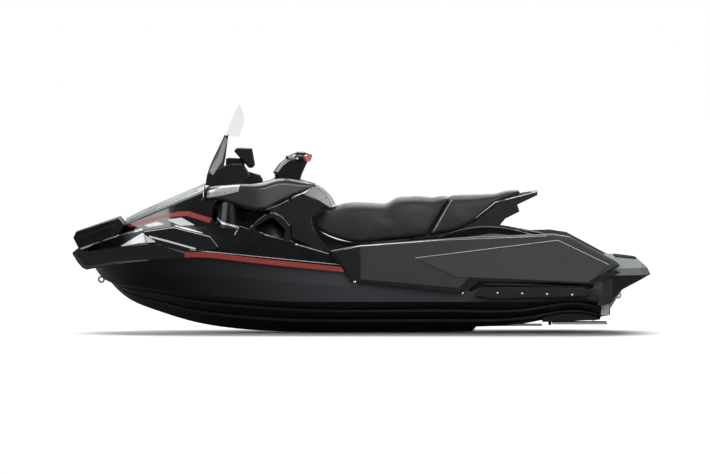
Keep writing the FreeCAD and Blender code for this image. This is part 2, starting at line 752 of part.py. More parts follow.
# Footwells: leaning walls, a flat floor and a toe ramp.
FOOTWELL_SIDE_SHARES = [(0, 1), (0.09, 0), (0.965, 0), (1, 1)]
floor_z = keel_z + size("footwell_rise")
well_length = size("footwell_length")
well_front = transom_x - size("footwell_aft_gap") - well_length
well_inner = size("footwell_inner")
well_outer = well_inner + size("footwell_width")
flare = size("footwell_flare")
well_depth = max(DECK_RISE_SHARES) * hull_depth + overrun - size("footwell_rise")
well_cross = new_body("footwell_cross", well_front, 0, floor_z)
pad(well_cross, sketch_on(well_cross, "footwell_walls", "YZ_Plane", [
    (-well_inner, 0), (-well_outer, 0), (-well_outer - flare, well_depth),
    (-well_inner + flare, well_depth),
]), well_length)
well_side = new_body("footwell_side", well_front, 0, floor_z)
pad(well_side, sketch_on(well_side, "footwell_floor", "XZ_Plane", [
    (u * well_length, v * well_depth) for u, v in FOOTWELL_SIDE_SHARES
]), half_beam)
footwell = common("footwell", well_cross, well_side)
footwell_twin = mirror(footwell)

hull = cut(
    "hull", hull_form, bay, bay_roof, swing, duct, engine_bay, shaft_bore, bin_pocket, footwell,
    footwell_twin,
)

# Deck: bow deck and gunwales over the bond line, less the footwells, with the pedestal between them.
# Pedestal: share of length, half width at foot, half width at top, top rise.
SPINE_SHARES = [
    (0, 1.0, 0.62, 0.9), (0.078, 0.96, 0.58, 0.98), (0.147, 0.8, 0.54, 1.0), (0.2, 0.7, 0.52, 0.98),
    (0.225, 0.68, 0.5, 0.85), (0.282, 0.66, 0.54, 0.62), (0.367, 0.66, 0.56, 0.512),
    (0.499, 0.66, 0.56, 0.544), (0.561, 0.66, 0.56, 0.577), (0.612, 0.66, 0.56, 0.609),
    (0.677, 0.66, 0.55, 0.675), (0.754, 0.66, 0.53, 0.696),
    (0.837, 0.66, 0.51, 0.632), (0.896, 0.66, 0.5, 0.567), (1, 0.66, 0.48, 0.37),
]
SPINE_SHOULDER_SHARE = 0.88
spine_length, spine_half = size("spine_length"), size("spine_half_width")
spine_front = transom_x - spine_length
spine_z = keel_z + size("spine_rise")


def line_height(line, x):
    """Height of a side view line at a given place along the boat."""
    for (x0, z0), (x1, z1) in zip(line, line[1:]):
        if float(x0) <= float(x) <= float(x1):
            return z0 + (z1 - z0) * ((x - x0) / (x1 - x0))
    return line[-1][1]


def raised_bond(i):
    bond_y, bond_z = bond_point(i)
    return (bond_y, bond_z + size("bond_gap"))


bond_line = [(station_x(i), bond_point(i)[1]) for i in STATIONS]
deck_form = station_loft("deck_form", [
    (station_x(i), mirrored_ring([raised_bond(i), deck_point(i)])) for i in STATIONS
])
spine_stations = []
for u, foot, top, rise in SPINE_SHARES:
    x = spine_front + u * spine_length
    foot_z = line_height(bond_line, x) + size("spine_root")
    top_z = spine_z + rise * size("spine_height")
    shoulder_z = spine_z + SPINE_SHOULDER_SHARE * (top_z - spine_z)
    spine_stations.append((x, mirrored_ring([
        (foot * spine_half, foot_z), (top * spine_half, shoulder_z),
        (SPINE_SHOULDER_SHARE * top * spine_half, top_z),
    ])))
spine_form = station_loft("pedestal_form", spine_stations)

# Steering column and the bore for its stem, tilted aft.
tilt = angle("column_tilt")
column_axis = V(math.sin(tilt), 0, math.cos(tilt))
column_x, column_z = bow_x + size("column_setback"), keel_z + size("column_rise")
column_length, stem_depth = size("column_length"), size("stem_depth")
stem_radius = size("stem_radius")


def along_column(distance):
    """A place on the column's axis, at a distance below its top."""
    return column_x - distance * math.sin(tilt), 0, column_z - distance * math.cos(tilt)


stem_bore = cylinder(
    "stem_bore", *along_column(stem_depth), stem_radius + size("shaft_clearance"),
    stem_depth + overrun, column_axis,
)

# Glove box behind the steering column: a tub, its surround and a hinged lid.
TUB_SHARES = [(0.05, 0.0), (0.03, 0.826), (0.33, 0.935), (0.92, 0.478), (0.76, 0.38), (0.46, 0.0)]
TUB_INSIDE_SHARES = [(0.12, 0.06), (0.12, 1.3), (0.84, 1.3), (0.84, 0.5), (0.7, 0.43), (0.41, 0.06)]
SURROUND_SHARES = [
    (0.02, 0.852), (0.318, 1.05), (0.56, 0.948), (0.777, 0.744), (0.914, 0.535), (0.824, 0.5),
    (0.682, 0.583),
    (0.439, 0.735),
]
GLOVE_LID_SHARES = [
    (0.364, 1.126), (0.606, 1.017), (0.848, 0.796), (0.995, 0.578), (0.939, 0.552), (0.803, 0.765),
    (0.576, 0.974),
    (0.343, 1.078),
]
GLOVE_AXIS_SHARES = (0.354, 1.1)
glove_half = size("glove_half_width")
tub_form = across_body("glove_tub", "glove", TUB_SHARES, glove_half)
tub_inside = across_body("glove_inside", "glove", TUB_INSIDE_SHARES, glove_half - size("glove_wall"))
surround_form = across_body("surround_form", "glove", SURROUND_SHARES, size("surround_half_width"))
lid_form = across_body("glove_lid_form", "glove", GLOVE_LID_SHARES, size("surround_half_width"))
hinge_x = bow_x + size("glove_setback") + GLOVE_AXIS_SHARES[0] * size("glove_length")
hinge_z = keel_z + size("glove_rise") + GLOVE_AXIS_SHARES[1] * size("glove_height")


def hinge(name, x, z, half, lid_half):
    """A barrel for the lid, the room it turns in, its bore, a fixed pin between lugs, and their spaces."""
    radius, pin, lug = size("barrel_radius"), size("hinge_pin"), size("hinge_lug")
    reach = half + move_gap + lug
    barrel = cylinder(name + "_barrel", x, -half, z, radius, 2 * half, Y_AXIS)
    clear, past = lid_half + move_gap, lid_half + overrun
    room = cylinder(name + "_room", x, -clear, z, radius + move_gap, 2 * clear, Y_AXIS)
    bore = cylinder(name + "_bore", x, -past, z, pin + size("pin_gap"), 2 * past, Y_AXIS)
    rod = cylinder(name + "_rod", x, -reach, z, pin, 2 * reach, Y_AXIS)
    lugs, spaces = [], []
    for side, y in (("port", -reach), ("starboard", reach - lug)):
        lugs.append(box(f"{name}_lug_{side}", x - radius, y, z - 3 * radius, 2 * radius, lug, 4 * radius))
        spaces.append(box(
            f"{name}_space_{side}", x - 2 * radius, y - move_gap, z - 3 * radius, 4 * radius + move_gap,
            lug + 2 * move_gap, 6 * radius,
        ))
    return barrel, room, bore, fuse(name + "_fixed", [rod] + lugs), spaces


glove_barrel, glove_room, glove_bore, glove_fixed, glove_spaces = hinge(
    "glove_hinge", hinge_x, hinge_z, size("glove_hinge_half"), size("surround_half_width")
)
glove_moving = fuse("glove_lid_moving", [lid_form, glove_barrel])
publish("glove_lid", cut("glove_lid", glove_moving, glove_bore, *glove_spaces))

deck_body = fuse("deck_whole", [deck_form, spine_form])
deck = cut(
    "deck", deck_body, hull_form, footwell, footwell_twin, engine_bay, bin_pocket, tub_form, surround_form,
    tub_inside, stem_bore,
)
doc.recompute()
publish("hull", shaped("hull_main", hull.Shape))
publish("deck", shaped("deck_main", deck.Shape))
hull_shape, deck_shape = published["hull"].Shape, published["deck"].Shape

# Bow cowl over the storage bin, cut to the lid line and to a raked aft end.
COWL_SHARES = [
    (0, 0.62, 0.48), (0.1, 0.7, 0.53), (0.312, 0.84, 0.64), (0.61, 0.96, 0.73), (0.857, 1.0, 0.79),
    (1, 1.0, 0.8),
]
LID_LINE_SHARES = [
    (-0.1, 0.3), (0, 0.36), (0.098, 0.392), (0.312, 0.556), (0.61, 0.778), (0.857, 0.965), (1.1, 1.1),
]
COWL_END_SHARES = [(0.8, 1.3), (0.83, 0.86), (0.97, 0.42), (1.01, -0.2)]
COWL_TOP_SHARE = 1.25
cowl_front, cowl_z = bow_x + size("cowl_setback"), keel_z + size("cowl_rise")
cowl_length, cowl_half, cowl_height = size("cowl_length"), size("cowl_half_width"), size("cowl_height")


def cowl_section(u, foot, top):
    return section(cowl_front + u * cowl_length, [
        (foot * cowl_half, cowl_z), (top * cowl_half, cowl_z + COWL_TOP_SHARE * cowl_height),
    ])


lid_line = box_outline("cowl", LID_LINE_SHARES)
over_lid_line = lid_line + [(lid_line[-1][0], over_top), (lid_line[0][0], over_top)]
above_lid_line = side_prism(over_lid_line, -half_beam, half_beam)
cowl_end = box_outline("cowl", COWL_END_SHARES)
behind_cowl = side_prism(
    cowl_end + [(x + cowl_length, z) for x, z in reversed(cowl_end)], -half_beam, half_beam
)
cowl = Part.makeLoft([cowl_section(*row) for row in COWL_SHARES], True)
cowl = cowl.cut([above_lid_line, behind_cowl]).cut(deck_shape).cut(hull_shape).cut(bin_pocket.Shape)
publish("front_cowl", shaped("front_cowl", cowl))
cowl_shape = published["front_cowl"].Shape

bin_hollow = box(
    "bin_hollow", bin_front + bin_wall, -bin_half + bin_wall, bin_z + bin_wall, bin_length - 2 * bin_wall,
    2 * (bin_half - bin_wall), over_top - bin_z,
)
over_bin = doc.addObject("Part::Feature", "over_lid_line")
over_bin.Shape = above_lid_line
publish("storage_bin", cut("storage_bin", bin_pocket, bin_hollow, over_bin))

# Storage lid: its crown follows the lid line, and a hinge barrel runs along its front edge.
LID_SHARES = [(0, 0.45, 0.3), (0.12, 0.56, 0.66), (0.3, 0.64, 0.82), (0.68, 0.74, 0.92), (1.0, 0.79, 1.0)]
LID_RIM_SHARE = 0.45
LID_CROWN_SHARES = (0.6, 0.6)
LID_SHOULDER_SHARE = 0.8
lid_front, lid_length = bow_x + size("lid_setback"), size("lid_length")


def lid_section(u, half_share, crown):
    x = lid_front + u * lid_length
    low = line_height(lid_line, x)
    half, thick = half_share * cowl_half, size("lid_thickness")
    return section(x, [
        (half, low - thick), (half, low + LID_RIM_SHARE * thick),
        (LID_SHOULDER_SHARE * half, low + LID_RIM_SHARE * (1 + crown) * thick),
        (0, low + (LID_CROWN_SHARES[0] + LID_CROWN_SHARES[1] * crown) * thick),
    ])


above_gap = above_lid_line.copy()
above_gap.translate(V(0, 0, move_gap))
lid_z = line_height(lid_line, lid_front) + move_gap + size("barrel_radius")
lid_barrel, lid_room, lid_bore, lid_fixed, lid_spaces = hinge(
    "lid_hinge", lid_front, lid_z, size("lid_hinge_half"), LID_SHARES[0][1] * cowl_half
)
doc.recompute()
lid = Part.makeLoft([lid_section(*row) for row in LID_SHARES], True).common(above_gap)
lid = lid.fuse(lid_barrel.Shape).cut([lid_bore.Shape] + [space.Shape for space in lid_spaces])
publish("storage_lid", shaped("storage_lid", lid))
fixed = doc.addObject("Part::Feature", "lid_hinge_pin")
fixed.Shape = lid_fixed.Shape.cut(cowl_shape).cut(deck_shape)
publish("lid_hinge", fixed)
publish("glove_hinge", cut("glove_hinge_pin", glove_fixed, surround_form, tub_form))

# Bow rail, wings and bumper: side outlines wrapped round the bow, cut to the hull and deck.
PLAN_SHARES = [(0, 0), (0.002, 0.2), (0.012, 0.27), (0.034, 0.38)]
RAIL_SHARES = [
    (0.0, 0.599), (0.068, 0.831), (0.12, 0.663), (0.332, 0.813), (0.595, 0.944), (0.745, 1.0),
    (0.903, 0.79), (1.0, 0.663), (0.982, 0.476), (0.754, 0.438), (0.471, 0.333), (0.296, 0.139),
    (0.134, 0.0), (0.1, 0.056),
    (0.054, 0.258),
]
WING_SHARES = [
    (0.0, 0.81), (0.394, 1.0), (0.893, 0.613), (1.0, 0.18), (0.97, 0.085), (0.683, 0.014), (0.546, 0.014),
    (0.167, 0.3), (0.03, 0.34),
]
BUMPER_SHARES = [
    (0.054, 0.525), (0.882, 1.0), (1.0, 0.788), (0.911, 0.551), (0.815, 0.448), (0.438, 0.2), (0.104, 0.0),
    (0.0, 0.332),
]
rail_out = size("rail_thickness")


def bow_block(inset):
    """Everything inside the bow's plan outline, drawn in by a given distance."""
    plan = [(bow_x + inset + u * hull_length, v * hull_half) for u, v in PLAN_SHARES]
    for i in STATIONS[1:]:
        plan.append((station_x(i), min(bond_point(i)[0] + rail_out, half_beam) - inset))
    return plan_prism(both_sides(plan), keel_z, over_top)


def wrapped(prefix, shares, half, inset):
    return side_prism(box_outline(prefix, shares), -1 * half, half).common(bow_block(inset))


lid_swing = lid_room.Shape
bow_rail = wrapped("bow_rail", RAIL_SHARES, half_beam, 0)
bow_rail = bow_rail.cut(deck_shape).cut(hull_shape).cut(bin_pocket.Shape)
publish("bow_rail", shaped("bow_rail", bow_rail))
bow_bumper = wrapped("bumper", BUMPER_SHARES, size("bumper_half_width"), 0)
bow_bumper = bow_bumper.cut(deck_shape).cut(hull_shape).cut(published["bow_rail"].Shape).cut(cowl_shape)
bumper_back = Part.makeBox(
    size("bumper_length"), 2 * half_beam, size("bumper_height"),
    V(lid_front - move_gap, -half_beam, lid_z - 3 * size("barrel_radius")),
)
bow_bumper = bow_bumper.cut([lid_swing, bumper_back]).cut(lid_fixed.Shape)
publish("bow_bumper", shaped("bow_bumper", bow_bumper))
wing = wrapped("wing", WING_SHARES, half_beam, size("wing_inset")).cut(deck_shape).cut(cowl_shape)
wing = wing.cut(published["bow_rail"].Shape).cut(hull_shape).cut(bin_pocket.Shape)
port_wing = shaped("port_wing", wing.common(Part.makeBox(
    length, half_beam - 2 * flare, over_top - keel_z, V(bow_x, -half_beam, keel_z)
)))
publish("bow_wings", pair("bow_wings", port_wing))

# Rub rail: a strip over the bond line, resting on the hull below it and the deck above it.
rub_half = size("rub_rail_height") / 2


def rub_section(i):
    bond_y, bond_z = bond_point(i)
    knuckle_y, knuckle_z = knuckle_point(i)
    top_y, top_z = deck_point(i)
    low, high = rub_half / (bond_z - knuckle_z), rub_half / (top_z - bond_z)
    out, gap = bond_y + rail_out, size("bond_gap")
    points = [
        (bond_y + low * (knuckle_y - bond_y) + gap, bond_z - rub_half), (out, bond_z - rub_half),
        (out, bond_z + rub_half), (bond_y + high * (top_y - bond_y) + gap, bond_z + rub_half),
        (bond_y + gap, bond_z),
    ]
    x = station_x(i)
    return Part.makePolygon([V(x, -1 * y, z) for y, z in points + points[:1]])


PANEL_SHARES = [
    (0.0, 0.704), (0.101, 0.8), (0.505, 0.958), (0.769, 1.0), (0.827, 0.953), (0.981, 0.525), (1.0, 0.433),
    (0.97, 0.354), (0.912, 0.164), (0.886, 0.097), (0.481, 0.195), (0.447, 0.0), (0.066, 0.166),
    (0.046, 0.345), (0.014, 0.585),
]
panel_thickness = size("panel_thickness")
panel_inner = half_beam - panel_thickness
panel_side = box_outline("panel", PANEL_SHARES)
rub_start = bow_x + size("bow_rail_length")
rub_rail = Part.makeLoft([rub_section(i) for i in STATIONS], True).common(Part.makeBox(
    size("panel_length") / 2 + panel_side[0][0] - rub_start, half_beam + overrun, over_top - keel_z,
    V(rub_start + seat_gap, -half_beam - overrun, keel_z),
))
rub_rail = rub_rail.cut(side_prism(panel_side, -half_beam - overrun, -panel_inner))
publish("rub_rails", pair("rub_rails", shaped("port_rub_rail", rub_rail)))

# Console cover over the pedestal, less the glove box, the column boss and the hinge's room.
CONSOLE_SHARES = [
    (-0.03, 0.78, 0.57, 0.68), (0.0, 0.92, 0.56, 0.8), (0.116, 1.0, 0.555, 0.86), (0.23, 1.0, 0.48, 0.885),
    (0.356, 1.0, 0.39, 0.885), (0.447, 0.98, 0.385, 0.905), (0.53, 0.93, 0.47, 0.965),
    (0.636, 0.86, 0.6, 0.98), (0.721, 0.8, 0.69, 0.945), (0.806, 0.72, 0.8, 0.885),
    (0.842, 0.66, 0.845, 0.872),
]
console_front, console_z = bow_x + size("console_setback"), keel_z + size("console_rise")
console_height, console_radius = float(size("console_height")), float(size("console_radius"))
CORNER_SHARES = (0.45, 0.6)


def console_section(u, half_share, low, high):
    radius = min(console_radius, CORNER_SHARES[0] * (high - low) * console_height)
    return rounded_section(
        console_front + u * size("console_length"), half_share * size("console_half_width"),
        console_z + low * size("console_height"), console_z + high * size("console_height"),
        CORNER_SHARES[1] * radius, radius,
    )


column_boss = cylinder(
    "column_boss", *along_column(column_length), size("column_radius"), column_length, column_axis
)
turn_room = cylinder(
    "turn_room", column_x, 0, column_z, size("turn_room_radius"), size("cover_height"), column_axis
)
doc.recompute()
console = Part.makeLoft([console_section(*row) for row in CONSOLE_SHARES], True)
console = console.cut(deck_shape).cut(cowl_shape).cut([
    surround_form.Shape, tub_form.Shape, tub_inside.Shape, glove_room.Shape, glove_fixed.Shape,
])
grown_lid = lid_form.Shape.copy()
grown_lid.translate(V(0, 0, -move_gap))
lid_reach = Part.makeBox(
    lid_length + move_gap, 2 * half_beam, over_top - cowl_z, V(lid_front, -half_beam, cowl_z)
)
console = console.cut([
    column_boss.Shape, stem_bore.Shape, turn_room.Shape, lid_form.Shape, grown_lid, lid_reach,
])
publish("console_cover", shaped("console_cover", console))
console_shape = published["console_cover"].Shape
boss = cut("steering_boss", column_boss, stem_bore)
doc.recompute()
publish("steering_column", shaped("steering_column", boss.Shape.cut(deck_shape)))
glove_tub = cut("glove_box", tub_form, tub_inside)
surround = cut("glove_surround", surround_form, tub_form, tub_inside)
doc.recompute()
publish("glove_box", shaped("glove_box_main", glove_tub.Shape.cut(hull_shape).cut(deck_shape)))
publish("glove_surround", shaped("glove_surround_main", surround.Shape.cut(console_shape).cut(deck_shape)))


# Windscreen: a black base, a frame and a clear shield, both wrapped round the front.
# Frame and shield: rise, place of the front, place of the back, half width.
SHIELD_BASE_SHARES = [
    (0, 0), (0.0, 0.085), (0.036, 0.542), (0.404, 0.887), (0.592, 1), (0.823, 1), (1, 0.401), (0.783, -0.1),
]
FRAME_SHARES = [
    (0.0, 0.0, 0.5, 1.0), (0.22, 0.06, 0.6, 0.97), (0.49, 0.25, 0.7, 0.93), (0.73, 0.455, 0.76, 0.89),
    (1.0, 0.68, 0.83, 0.84),
]
SHIELD_SHARES = [
    (0.08, 0.03, 0.8, 0.95), (0.31, 0.18, 0.9, 0.98), (0.62, 0.4, 0.995, 1.0), (0.88, 0.62, 0.86, 0.8),
    (1.0, 0.72, 0.78, 0.4),
]
base_body = across_body("base_form", "shield_base", SHIELD_BASE_SHARES, size("shield_base_half"))
round_edges(base_body, base_body.Tip, size("shield_base_radius"), lambda p: True)
doc.recompute()
base_shape = base_body.Shape.cut(console_shape).cut(cowl_shape).cut(deck_shape)


def shell(prefix, shares):
    """A windscreen lofted through crescents at several heights."""
    left, base = bow_x + size(prefix + "_setback"), keel_z + size(prefix + "_rise")
    long, tall = size(prefix + "_length"), size(prefix + "_height")
    half, wall = size(prefix + "_half"), size(prefix + "_wall")
    return Part.makeLoft([
        crescent(base + rise * tall, left + front * long, left + back * long, width * half, wall)
        for rise, front, back, width in shares
    ], True)


frame_shape = shell("shield_frame", FRAME_SHARES)
base_shape = base_shape.cut(frame_shape)
publish("windscreen_base", shaped("windscreen_base", base_shape))
frame_shape = frame_shape.cut(console_shape).cut(deck_shape).cut(cowl_shape)
publish("windscreen_frame", shaped("windscreen_frame", frame_shape))
publish("windscreen", shaped("windscreen", shell("shield", SHIELD_SHARES).cut(frame_shape)))

# Instruments: pod, display and the bracket that holds it.
POD_SHARES = [(0, 0), (0.04, 0.9), (0.15, 1.0), (0.85, 0.8), (1.0, 0.5), (0.95, 0)]
BRACKET_SHARES = [(0, 0.0), (0, 0.9), (0.2, 1), (1, 0.9), (0.95, -0.5), (0.4, -0.2)]
DISPLAY_SHARES = [(0, 0.85), (0.16, 1), (0.86, 0.97), (1.0, 0.12), (0.86, 0), (0.7, 0.02)]
display_body = across_body("display", "display", DISPLAY_SHARES, size("display_half"))
round_edges(display_body, display_body.Tip, size("display_radius"), lambda p: True)
publish("display", display_body)
pod_body = across_body("pod_form", "pod", POD_SHARES, size("pod_half"))
pod_low = float(size("pod_height")) / 2
round_edges(pod_body, pod_body.Tip, size("pod_radius"), lambda p: p.z > pod_low)
bracket_body = across_body("bracket_form", "bracket", BRACKET_SHARES, size("bracket_half"))
doc.recompute()
pod_shape = pod_body.Shape.cut(console_shape).cut(base_shape).cut(frame_shape)
publish("instrument_pod", shaped("instrument_pod", pod_shape))
bracket_shape = bracket_body.Shape.cut(display_body.Shape).cut(frame_shape).cut(pod_shape).cut(base_shape)
publish("display_bracket", shaped("display_bracket", bracket_shape.cut(published["windscreen"].Shape)))

# Seats: rounded sections from nose to seam, and from seam to tail.
# Each section: share of length, half width, underside and top.
SEAT_SHARES = [
    (0.0, 0.62, 0.38, 0.5), (0.06, 0.8, 0.27, 0.645), (0.2, 0.94, 0.09, 0.81), (0.35, 1.0, 0.0, 0.848),
    (0.514, 1.0, 0.04, 0.815), (0.58, 1.0, 0.06, 0.925), (0.7, 0.98, 0.09, 0.966),
    (0.85, 0.94, 0.16, 0.985), (1.06, 0.9, 0.25, 1.005),
]
REAR_SEAT_SHARES = [
    (-0.06, 0.94, 0.0, 0.84), (0.1, 0.94, 0.03, 0.85), (0.25, 0.92, 0.08, 0.865), (0.5, 0.88, 0.31, 0.89),
    (0.76, 0.84, 0.73, 0.92), (0.86, 0.8, 0.82, 0.975), (0.95, 0.72, 0.88, 0.99), (1.0, 0.6, 0.92, 0.985),
]
SEAM_SHARES = [(0.848, 0.0), (0.846, 0.158), (1.0, 1.0), (1.0, 1.3)]
SEAT_CORNER_SHARES = (0.42, 0.4)


def seat_loft(prefix, shares):
    left, base = bow_x + size(prefix + "_setback"), keel_z + size(prefix + "_rise")
    tall = size(prefix + "_height")
    wires = []
    for u, half, low, high in shares:
        radius = min(float(size("seat_radius")), SEAT_CORNER_SHARES[0] * (high - low) * float(tall))
        wires.append(rounded_section(
            left + u * size(prefix + "_length"), half * size("seat_half_width"), base + low * tall,
            base + high * tall, SEAT_CORNER_SHARES[1] * radius, radius,
        ))
    return Part.makeLoft(wires, True)


seam = box_outline("seat", SEAM_SHARES)
aft_of_seam = side_prism(seam + [(x + length, z) for x, z in reversed(seam)], -half_beam, half_beam)
aft_of_seam.translate(V(size("seam_gap"), 0, 0))
front_of_seam = side_prism(seam + [(x - length, z) for x, z in reversed(seam)], -half_beam, half_beam)
seat_front = seat_loft("seat", SEAT_SHARES).common(front_of_seam).cut(deck_shape)
seat_front = seat_front.cut([published["glove_box"].Shape, surround_form.Shape, grown_lid])
publish("seat_front", shaped("seat_front", seat_front))
seat_rear = seat_loft("rear_seat", REAR_SEAT_SHARES).common(aft_of_seam).cut(deck_shape)
publish("seat_rear", shaped("seat_rear", seat_rear))

# Knee panels beside the glove box and arched scoops at the front of the footwells.
KNEE_SHARES = [
    (0, 0.733), (0.261, 0.866), (0.615, 1.0), (0.812, 0.919), (0.928, 0.821), (0.732, 0.61), (0.754, 0.433),
    (0.841, 0.239), (1, 0), (0.594, 0.133), (0.421, 0.221), (0.406, 0.451), (0.276, 0.61), (0.145, 0.689),
]
SCOOP_SHARES = [
    (0, 0.53), (0.235, 0.75), (0.423, 0.94), (0.564, 1), (0.752, 0.86), (0.963, 0.58), (1, 0.16),
    (0.752, 0.0),
    (0.305, 0.2),
]
SCOOP_INSIDE_SHARES = [
    (0.141, 0.54), (0.446, 0.81), (0.564, 0.86), (0.705, 0.7), (0.86, 0.45), (0.8, 0.1), (0.305, 0.3),
]
KNEE_ROUND_SHARE = 0.9
knee_thickness, scoop_thickness = size("knee_thickness"), size("scoop_thickness")
knee = side_body(
    "knee_form", "knee", KNEE_SHARES, knee_thickness - size("knee_half_width"), knee_thickness
)
round_edges(
    knee, knee.Tip, size("knee_radius"),
    lambda p: p.y < overrun / 2 - knee_thickness and p.x < KNEE_ROUND_SHARE * size("knee_length"),
)
scoop = side_body(
    "scoop_form", "scoop", SCOOP_SHARES, scoop_thickness - size("scoop_half_width"), scoop_thickness
)
scoop_inside = [(u * size("scoop_length"), v * size("scoop_height")) for u, v in SCOOP_INSIDE_SHARES]
pocket(scoop, sketch_on(scoop, "scoop_inside", "XZ_Plane", scoop_inside))
doc.recompute()
glove_parts = [published["glove_box"].Shape, published["glove_surround"].Shape, lid_form.Shape, grown_lid]
knee_shape = knee.Shape.cut(deck_shape).cut(hull_shape).cut(console_shape).cut(glove_parts)
knee_shape = knee_shape.cut(seat_front).cut(scoop.Shape)
publish("knee_panels", pair("knee_panels", shaped("port_knee_panel", knee_shape)))
scoop_shape = scoop.Shape.cut(deck_shape).cut(console_shape).cut(hull_shape)
publish("footwell_scoops", pair("footwell_scoops", shaped("port_scoop", scoop_shape)))

# Grab rail behind the rear seat, round a hand gap.
GRAB_SHARES = [
    (0.031, 0.316), (0.389, 0.76), (0.671, 0.922), (1.0, 1.0), (1.0, 0.91), (0.692, 0.68), (0.723, 0.51),
    (0.508, 0.34), (0.431, 0.194), (0.3, -0.1), (0, -0.1),
]
grab_half, grab_bar, hand_gap = size("grab_half_width"), size("grab_bar"), size("hand_gap")
grab_length = size("grab_length")
grab = across_body("grab_form", "grab", GRAB_SHARES, grab_half)
gap_front = grab_length - grab_bar - hand_gap
gap_plan = [(gap_front, -2 * grab_half + grab_bar), (grab_length - grab_bar, -2 * grab_half + grab_bar)]
gap_plan += [(grab_length - grab_bar, -grab_bar), (gap_front, -grab_bar)]
pocket(grab, sketch_on(grab, "hand_gap", "XY_Plane", gap_plan))
doc.recompute()
grab_shape = grab.Shape.cut(deck_shape).cut(seat_rear)
publish("grab_rail", shaped("grab_rail", grab_shape))

# Side panels with their insets, trims and sponsons.
INSET_SHARES = [
    (0.297, 0.569), (0.784, 0.877), (0.955, 0.451), (0.891, 0.144), (0.491, 0.226), (0.438, 0.242),
]
TRIM_SHARES = [
    (0.0, 0.952), (0.036, 0.5), (0.425, 0.0), (0.487, 0.65), (0.897, 0.45), (1.0, 1.0), (0.98, 1.12),
    (0.87, 0.72), (0.47, 0.92), (0.4, 0.25), (0.06, 0.72), (0.02, 1.05),
]
SPONSON_SHARES = [(0, 0.25), (0.06, 0.95), (0.13, 1.0), (0.96, 0.95), (1.0, 0.6), (0.96, 0.2), (0.16, 0.0)]
panel_length, panel_height = size("panel_length"), size("panel_height")
inset_depth, inset_thickness = size("inset_depth"), size("inset_thickness")
panel = side_body("panel_form", "panel", PANEL_SHARES, -panel_inner, panel_thickness)
round_edges(panel, panel.Tip, size("panel_radius"), lambda p: p.y < overrun / 2 - panel_thickness)
inset_points = [(u * panel_length, v * panel_height) for u, v in INSET_SHARES]
pocket(panel, sketch_on(panel, "inset_outline", "XZ_Plane", inset_points, panel_thickness), inset_depth)
inset_z = keel_z + size("panel_rise")
inset = new_body("inset_form", bow_x + size("panel_setback"), inset_depth - half_beam, inset_z)
pad(inset, sketch_on(inset, "inset_plate", "XZ_Plane", inset_points), inset_thickness)
publish("side_insets", pair("side_insets", inset))
trim = side_body("trim_form", "trim", TRIM_SHARES, size("trim_depth") - half_beam, size("trim_depth"))
sponson_depth = size("sponson_depth")
sponson = side_body("sponson_form", "sponson", SPONSON_SHARES, sponson_depth - half_beam, sponson_depth)
round_edges(sponson, sponson.Tip, size("sponson_radius"), lambda p: p.y < overrun / 2 - sponson_depth)
doc.recompute()
port_panel = shaped("port_panel", panel.Shape.cut(deck_shape).cut(hull_shape))
publish("side_panels", pair("side_panels", port_panel))
inset_room = side_prism(box_outline("panel", INSET_SHARES), -half_beam, -panel_inner)
port_trim = shaped("port_trim", trim.Shape.cut([panel.Shape, inset_room]).cut(deck_shape).cut(hull_shape))
publish("side_trims", pair("side_trims", port_trim))
port_sponson = shaped("port_sponson", sponson.Shape.cut(panel.Shape).cut(hull_shape).cut(port_trim.Shape))
publish("sponsons", pair("sponsons", port_sponson))

# Aft platform with a channel for the jet, bucket and boarding step.
AFT_SHARES = [
    (0, 1), (0.375, 1), (0.769, 0.951), (0.938, 0.783), (1, 0.638), (0.929, 0.606), (0.582, 0.409),
    (0.426, 0.319), (0.244, 0.064), (0.094, 0), (0, 0),
]
aft_length, aft_half, aft_corner = size("aft_length"), size("aft_half_width"), size("aft_corner")
aft_front = bow_x + size("aft_setback")
aft_side = across_body("aft_side", "aft", AFT_SHARES, aft_half)
aft_plan = new_body("aft_plan", aft_front, 0, keel_z)
pad(aft_plan, sketch_on(aft_plan, "aft_corners", "XY_Plane", both_sides([
    (0, aft_half), (aft_length - 2 * aft_corner, aft_half),
    (aft_length - aft_corner / 2, aft_half - aft_corner),
    (aft_length, aft_half - 2 * aft_corner),
])), over_top - keel_z)
channel_half = size("channel_half_width")
channel = box(
    "jet_channel", transom_x - overrun, -channel_half, keel_z - overrun, aft_length + overrun,
    2 * channel_half, size("channel_rise") + overrun,
)
aft_form = cut("aft_form", common("aft_block", aft_side, aft_plan), channel, swing)
doc.recompute()
both_panels = [port_panel.Shape, port_panel.Shape.mirror(V(), Y_AXIS)]
aft_shape = aft_form.Shape.cut(hull_shape).cut(deck_shape).cut(both_panels)
publish("aft_deck", shaped("aft_deck", aft_shape))
aft_shape = published["aft_deck"].Shape

# Footwell mats.
mat_margin = size("mat_margin")
mat = box(
    "port_mat", bow_x + size("mat_setback"), -well_outer + mat_margin, floor_z, size("mat_length"),
    size("footwell_width") - 2 * mat_margin, size("mat_thickness"),
)
publish("footwell_mats", pair("footwell_mats", mat))

